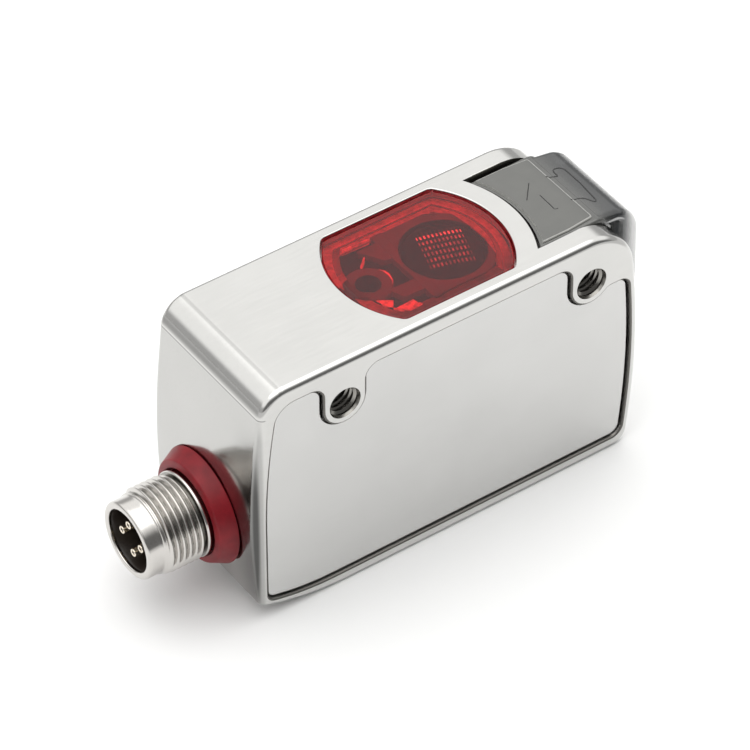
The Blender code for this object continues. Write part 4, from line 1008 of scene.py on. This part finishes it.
RIDGE_LINE = [(27.35, 1.75), (27.9, 1.6), (28.45, 1.5), (28.5, 2.3), (28.75, 2.5), (29.3, 2.45), (29.6, 2.1),
              (29.6, -0.1), (29.35, -2.7), (29.1, -2.9), (28.6, -2.1), (28.2, -1.9), (27.3, -1.85)]
raised_line("cap_ridge_line", RIDGE_LINE, 0.07)
raised_line("cap_stroke_1", [(25.67, 1.92), (24.21, 0.24)], 0.05)
raised_line("cap_stroke_2", [(25.5, 0.13), (25.45, -2.05), (25.74, -2.1)], 0.05)

# %% [markdown]
# ## The plug
#
# The plug is an M8 thread with four pins, turned from stainless steel. The lathe profile gives the
# collar, the relief and the flange. The thread itself is a spiral: each vertex of a finely ringed
# cylinder moves out or in by where it lies on the spiral.

# %% Plug shell
PLUG_AXIS = (PLUG_FACE, 0, PLUG_LEVEL)
THREAD_LOW, THREAD_HIGH, THREAD_PITCH, RINGS = 2.5, 6.13, 0.6, 120


def plug_profile():
    """The shell's profile from the front rim over the outside and back through the bore."""
    outside = fillet((3.27, 7.48), 0.3, 80, 0, 6) + [(3.57, 6.5)] + fillet((3.77, 6.35), 0.2, 180, 250, 4)
    thread = [(3.85, THREAD_HIGH - (THREAD_HIGH - THREAD_LOW) * ring / RINGS) for ring in range(RINGS + 1)]
    rear = [(3.35, THREAD_LOW - 0.05), (3.35, 2.2), (3.88, 2.2), (3.95, 2.14), (3.95, 1.92), (3.88, 1.85),
            (3.6, 1.8)]
    tail = [(3.6, 1.15), (3.6, -0.35), (3.0, -0.35), (3.0, -1.45), (3.6, -1.45), (3.6, -4.5), (2.3, -4.5)]
    bore = [(2.3, -1.25), (2.9, -1.25), (2.9, 7.45)] + fillet((3.05, 7.62), 0.15, 180, 110, 4)
    return outside + thread + rear + tail + bore


shell_shape = turned(plug_profile(), PLUG_AXIS, "-X", steps=144, closed=True)
for vert in shell_shape.verts:
    out = PLUG_FACE - vert.co.x
    arm = Vector((0, vert.co.y, vert.co.z - PLUG_LEVEL))
    if THREAD_LOW - 0.01 <= out <= THREAD_HIGH + 0.01 and arm.length > 3.5:
        turn = math.atan2(arm.z, arm.y) / math.tau
        wave = 0.5 + 0.5 * math.cos(math.tau * (out / THREAD_PITCH - turn))
        fade = min(1.0, (THREAD_HIGH - out) / 0.5, (out - THREAD_LOW + 0.12) / 0.3)
        radius = 3.55 + (0.02 + 0.38 * wave ** 0.9) * max(0.0, fade)
        vert.co += arm.normalized() * (radius - arm.length)
close_up(shell_shape)
# Faces deep in the thread's valleys take the darker steel: painted shade.
for face in shell_shape.faces:
    where = face.calc_center_median()
    deep = math.hypot(where.y, where.z - PLUG_LEVEL) < 3.65
    face.material_index = int(deep and THREAD_LOW - 0.5 < PLUG_FACE - where.x < THREAD_HIGH - 0.3)
hand_over("plug_shell", shell_shape, [turned_steel, hole_shade_steel], ["connector_shell"],
          sharp=50, weighted=False)

# %% [markdown]
# ## Ring, liner and pins
#
# The red ring is moulded and slides over the shell's collar. A thin black liner covers the bore's wall.
# The pins are turned brass with a gold skin, rounded at the tip, with a small drilled hole in the end.

# %% Ring, liner and pins
ring_profile = (fillet((4.6, 1.38), 0.2, 12, 80, 6) + fillet((4.12, 1.56), 0.12, 80, 180, 4)
                + [(4.0, 0.9), (3.85, 0.9), (3.85, 0.04), (5.34, 0.04)]
                + fillet((5.34, 0.12), 0.08, -90, 12, 4))
ring_shape = turned(ring_profile, PLUG_AXIS, "-X", steps=160, closed=True)
hand_over("red_ring", ring_shape, ring_finish, ["connector_ring"], weighted=False)
liner_profile = [(2.895, 7.42), (2.895, 3.3), (2.8, 3.3), (2.8, 7.2)]
liner_shape = turned(liner_profile, PLUG_AXIS, "-X", steps=96, closed=True)
hand_over("bore_liner", liner_shape, insert_finish, weighted=False)

gold_finish, value = start_finish("pin_gold", Metallic=1.0, Roughness=0.15)
rings = noise(value, place(value, scale=(1.0, 0.1, 0.1)), 0.05, 2.0)
cloud = noise(value, place(value), 0.6, 2.0)
feed(gold_finish, Base_Color=cloud.blend(linear(0.78, 0.7, 0.58), linear(0.9, 0.83, 0.72)),
     Roughness=rings * 0.12 + 0.1, Normal=bump(value, rings, 0.001))
PIN_CIRCLE, PIN_ANGLES = 1.4, (75, 0, 260, 180)
for number, degrees in enumerate(PIN_ANGLES, 1):
    turn = math.radians(degrees)
    spot = (PLUG_FACE, PIN_CIRCLE * math.cos(turn), PLUG_LEVEL + PIN_CIRCLE * math.sin(turn))
    pin_shape = turned([(0, 6.9), (0.2, 6.9), (0.2, 7.3)] + fillet((0.29, 7.3), 0.09, 180, 0, 6)
                       + [(0.38, -5.75), (0.0, -5.75)], spot, "-X", steps=40)
    # The small hole in the pin's tip takes the near-black finish: painted shade.
    for face in pin_shape.faces:
        where = face.calc_center_median() - Vector(spot)
        face.material_index = int(-where.x < 7.28 and math.hypot(where.y, where.z) < 0.25)
    hand_over(f"gold_pin_{number}", pin_shape, [gold_finish, pit_shade_finish],
              [f"contact_pin_{number}"], weighted=False)

# %% [markdown]
# ## Finishes inside the body
#
# The boards, chips, lamps and screws are inside, and they stay as the CAD made them. They still get
# real finishes: solder-mask green with copper tracks, black packages, brass, rubber and clear plastic.

# %% Inner finishes
board_finish, value = start_finish("board_green", Roughness=0.38, IOR=1.5)
where = place(value)
tracks = (coordinate(value, where, 0) * 1.1 + 50).maths("FRACT")
tracks = (tracks - 0.5).maths("ABSOLUTE").smooth(0.1, 0.16, 1.0, 0.0)
glass = noise(value, where, 0.3, 2.0)
copper = tracks * 0.6 + glass * 0.25
feed(board_finish, Base_Color=copper.blend(linear(0.01, 0.12, 0.05), linear(0.05, 0.3, 0.1)),
     Roughness=glass * 0.2 + 0.28, Normal=bump(value, tracks, 0.02))

brass_finish = mottled("barrel_brass", (0.62, 0.45, 0.18), (0.75, 0.58, 0.27), 0.06, (0.2, 0.4),
                       stretch=(0.1, 0.1, 1.0), depth=0.002, Metallic=1.0, Roughness=0.3)


def clear_plastic(name, colour, transmission, roughness):
    """Clear or tinted plastic with slight flow marks."""
    material, value = start_finish(name, IOR=1.5, Transmission_Weight=transmission, Roughness=roughness)
    flow = noise(value, place(value), 0.8, 2.0, distortion=0.6)
    darker = tuple(0.88 * part for part in colour)
    feed(material, Base_Color=flow.blend(linear(*darker), linear(*colour)), Roughness=flow * 0.08 + roughness,
         Normal=bump(value, flow, 0.003))
    return material


glass_finish = clear_plastic("lens_glass", (0.9, 0.93, 0.95), 0.95, 0.02)
guide_finish = clear_plastic("clear_guide", (0.92, 0.92, 0.9), 0.8, 0.1)
green_lamp = clear_plastic("lamp_green", (0.1, 0.65, 0.2), 0.2, 0.2)
yellow_lamp = clear_plastic("lamp_yellow", (0.9, 0.65, 0.08), 0.2, 0.2)

carried_over = [
    (chip_finish, ["receiver_chip", "link_header", "processor_chip", "driver_chip"]),
    (turned_steel, ["laser_diode", "optics_screw_1", "optics_screw_2", "connector_nut"]),
    (board_finish, ["optics_board", "main_board", "led_board", "connector_board"]),
    (brass_finish, ["laser_barrel"]),
    (glass_finish, ["emitter_lens"]),
    (guide_finish, ["light_guide"]),
    (green_lamp, ["status_led_green"]),
    (yellow_lamp, ["status_led_yellow"]),
    (rubber_finish, ["connector_oring"]),
    (insert_finish, ["connector_insert"]),
]
for material, names in carried_over:
    for name in names:
        nodes[name].data.materials.clear()
        nodes[name].data.materials.append(material)
    print(f"{material.name}:", ", ".join(names))

# %% [markdown]
# ## The studio
#
# The photograph was taken on white, in soft light, from high on the plug side. A wide pale floor and a
# bright sky do most of the work. A polished part shows what it mirrors, so the floor gets darker away
# from the part, and the sky is darker low down and in front, where the near sides look.

# %% Floor and sky
floor_shape = bmesh.new()
bmesh.ops.create_grid(floor_shape, x_segments=1, y_segments=1, size=3.0)
floor = loose_object("pale_floor", floor_shape)
floor_finish, value = start_finish("pale_floor", Roughness=0.9)
spot = value.node("ShaderNodeTexCoord", output=3)
paper = noise(value, spot, 4.0, 2.0) * 0.3
distance = value.node("ShaderNodeVectorMath", {0: spot}, output=1, operation="LENGTH")
# The floor's colour darkens away from the part: a painted pool of light round it, which the part mirrors.
dimmed = paper + distance.smooth(0.066, 0.1, 0.0, 0.75)
feed(floor_finish, Base_Color=dimmed.blend(linear(0.93, 0.93, 0.93), linear(0.5, 0.5, 0.5)))
floor.data.materials.append(floor_finish)

world = bpy.data.worlds.new("soft_studio")
world.use_nodes = True
bpy.context.scene.world = world
sky = Value(world.node_tree)
direction = sky.node("ShaderNodeTexCoord")
height = coordinate(sky, direction, 2)
depth = coordinate(sky, direction, 1)
behind = height.smooth(0.22, 0.46, 0.53, 1.3) + height.smooth(0.74, 0.9, 0.0, 1.2)
ahead = height.smooth(0.5, 0.84, 0.18, 1.1) + height.smooth(0.8, 0.93, 0.0, 1.3)
side = depth.smooth(-0.65, -0.3)
brightness = side * behind + (1.0 - side) * ahead
background = world.node_tree.nodes["Background"]
world.node_tree.links.new(brightness.socket, background.inputs["Strength"])
background.inputs["Color"].default_value = linear(1.0, 1.0, 0.99)
print("studio ready")

# %% [markdown]
# ## The camera
#
# The viewpoint was found by fitting the part's straight edges and hole centres to the photograph. The
# long lens keeps the edges nearly parallel, as in a product photograph.

# %% Camera
CAMERA_PLACE = Vector((-0.173706, -0.246376, 0.294346))
AZIMUTH, ELEVATION = math.radians(-35.283), math.radians(42.914)
level_part = math.cos(ELEVATION)
back = Vector((math.sin(AZIMUTH) * level_part, -math.cos(AZIMUTH) * level_part, math.sin(ELEVATION)))
lens_data = bpy.data.cameras.new("studio_camera")
lens_data.lens = 233.27
lens_data.sensor_width = 36.0
lens_data.clip_start, lens_data.clip_end = 0.01, 20.0
camera = bpy.data.objects.new("studio_camera", lens_data)
camera.location = CAMERA_PLACE
camera.rotation_euler = (-back).to_track_quat("-Z", "Y").to_euler()
bpy.context.scene.collection.objects.link(camera)
bpy.context.scene.camera = camera
bpy.context.scene.view_settings.view_transform = "Standard"
print("camera at", [round(part, 4) for part in camera.location])
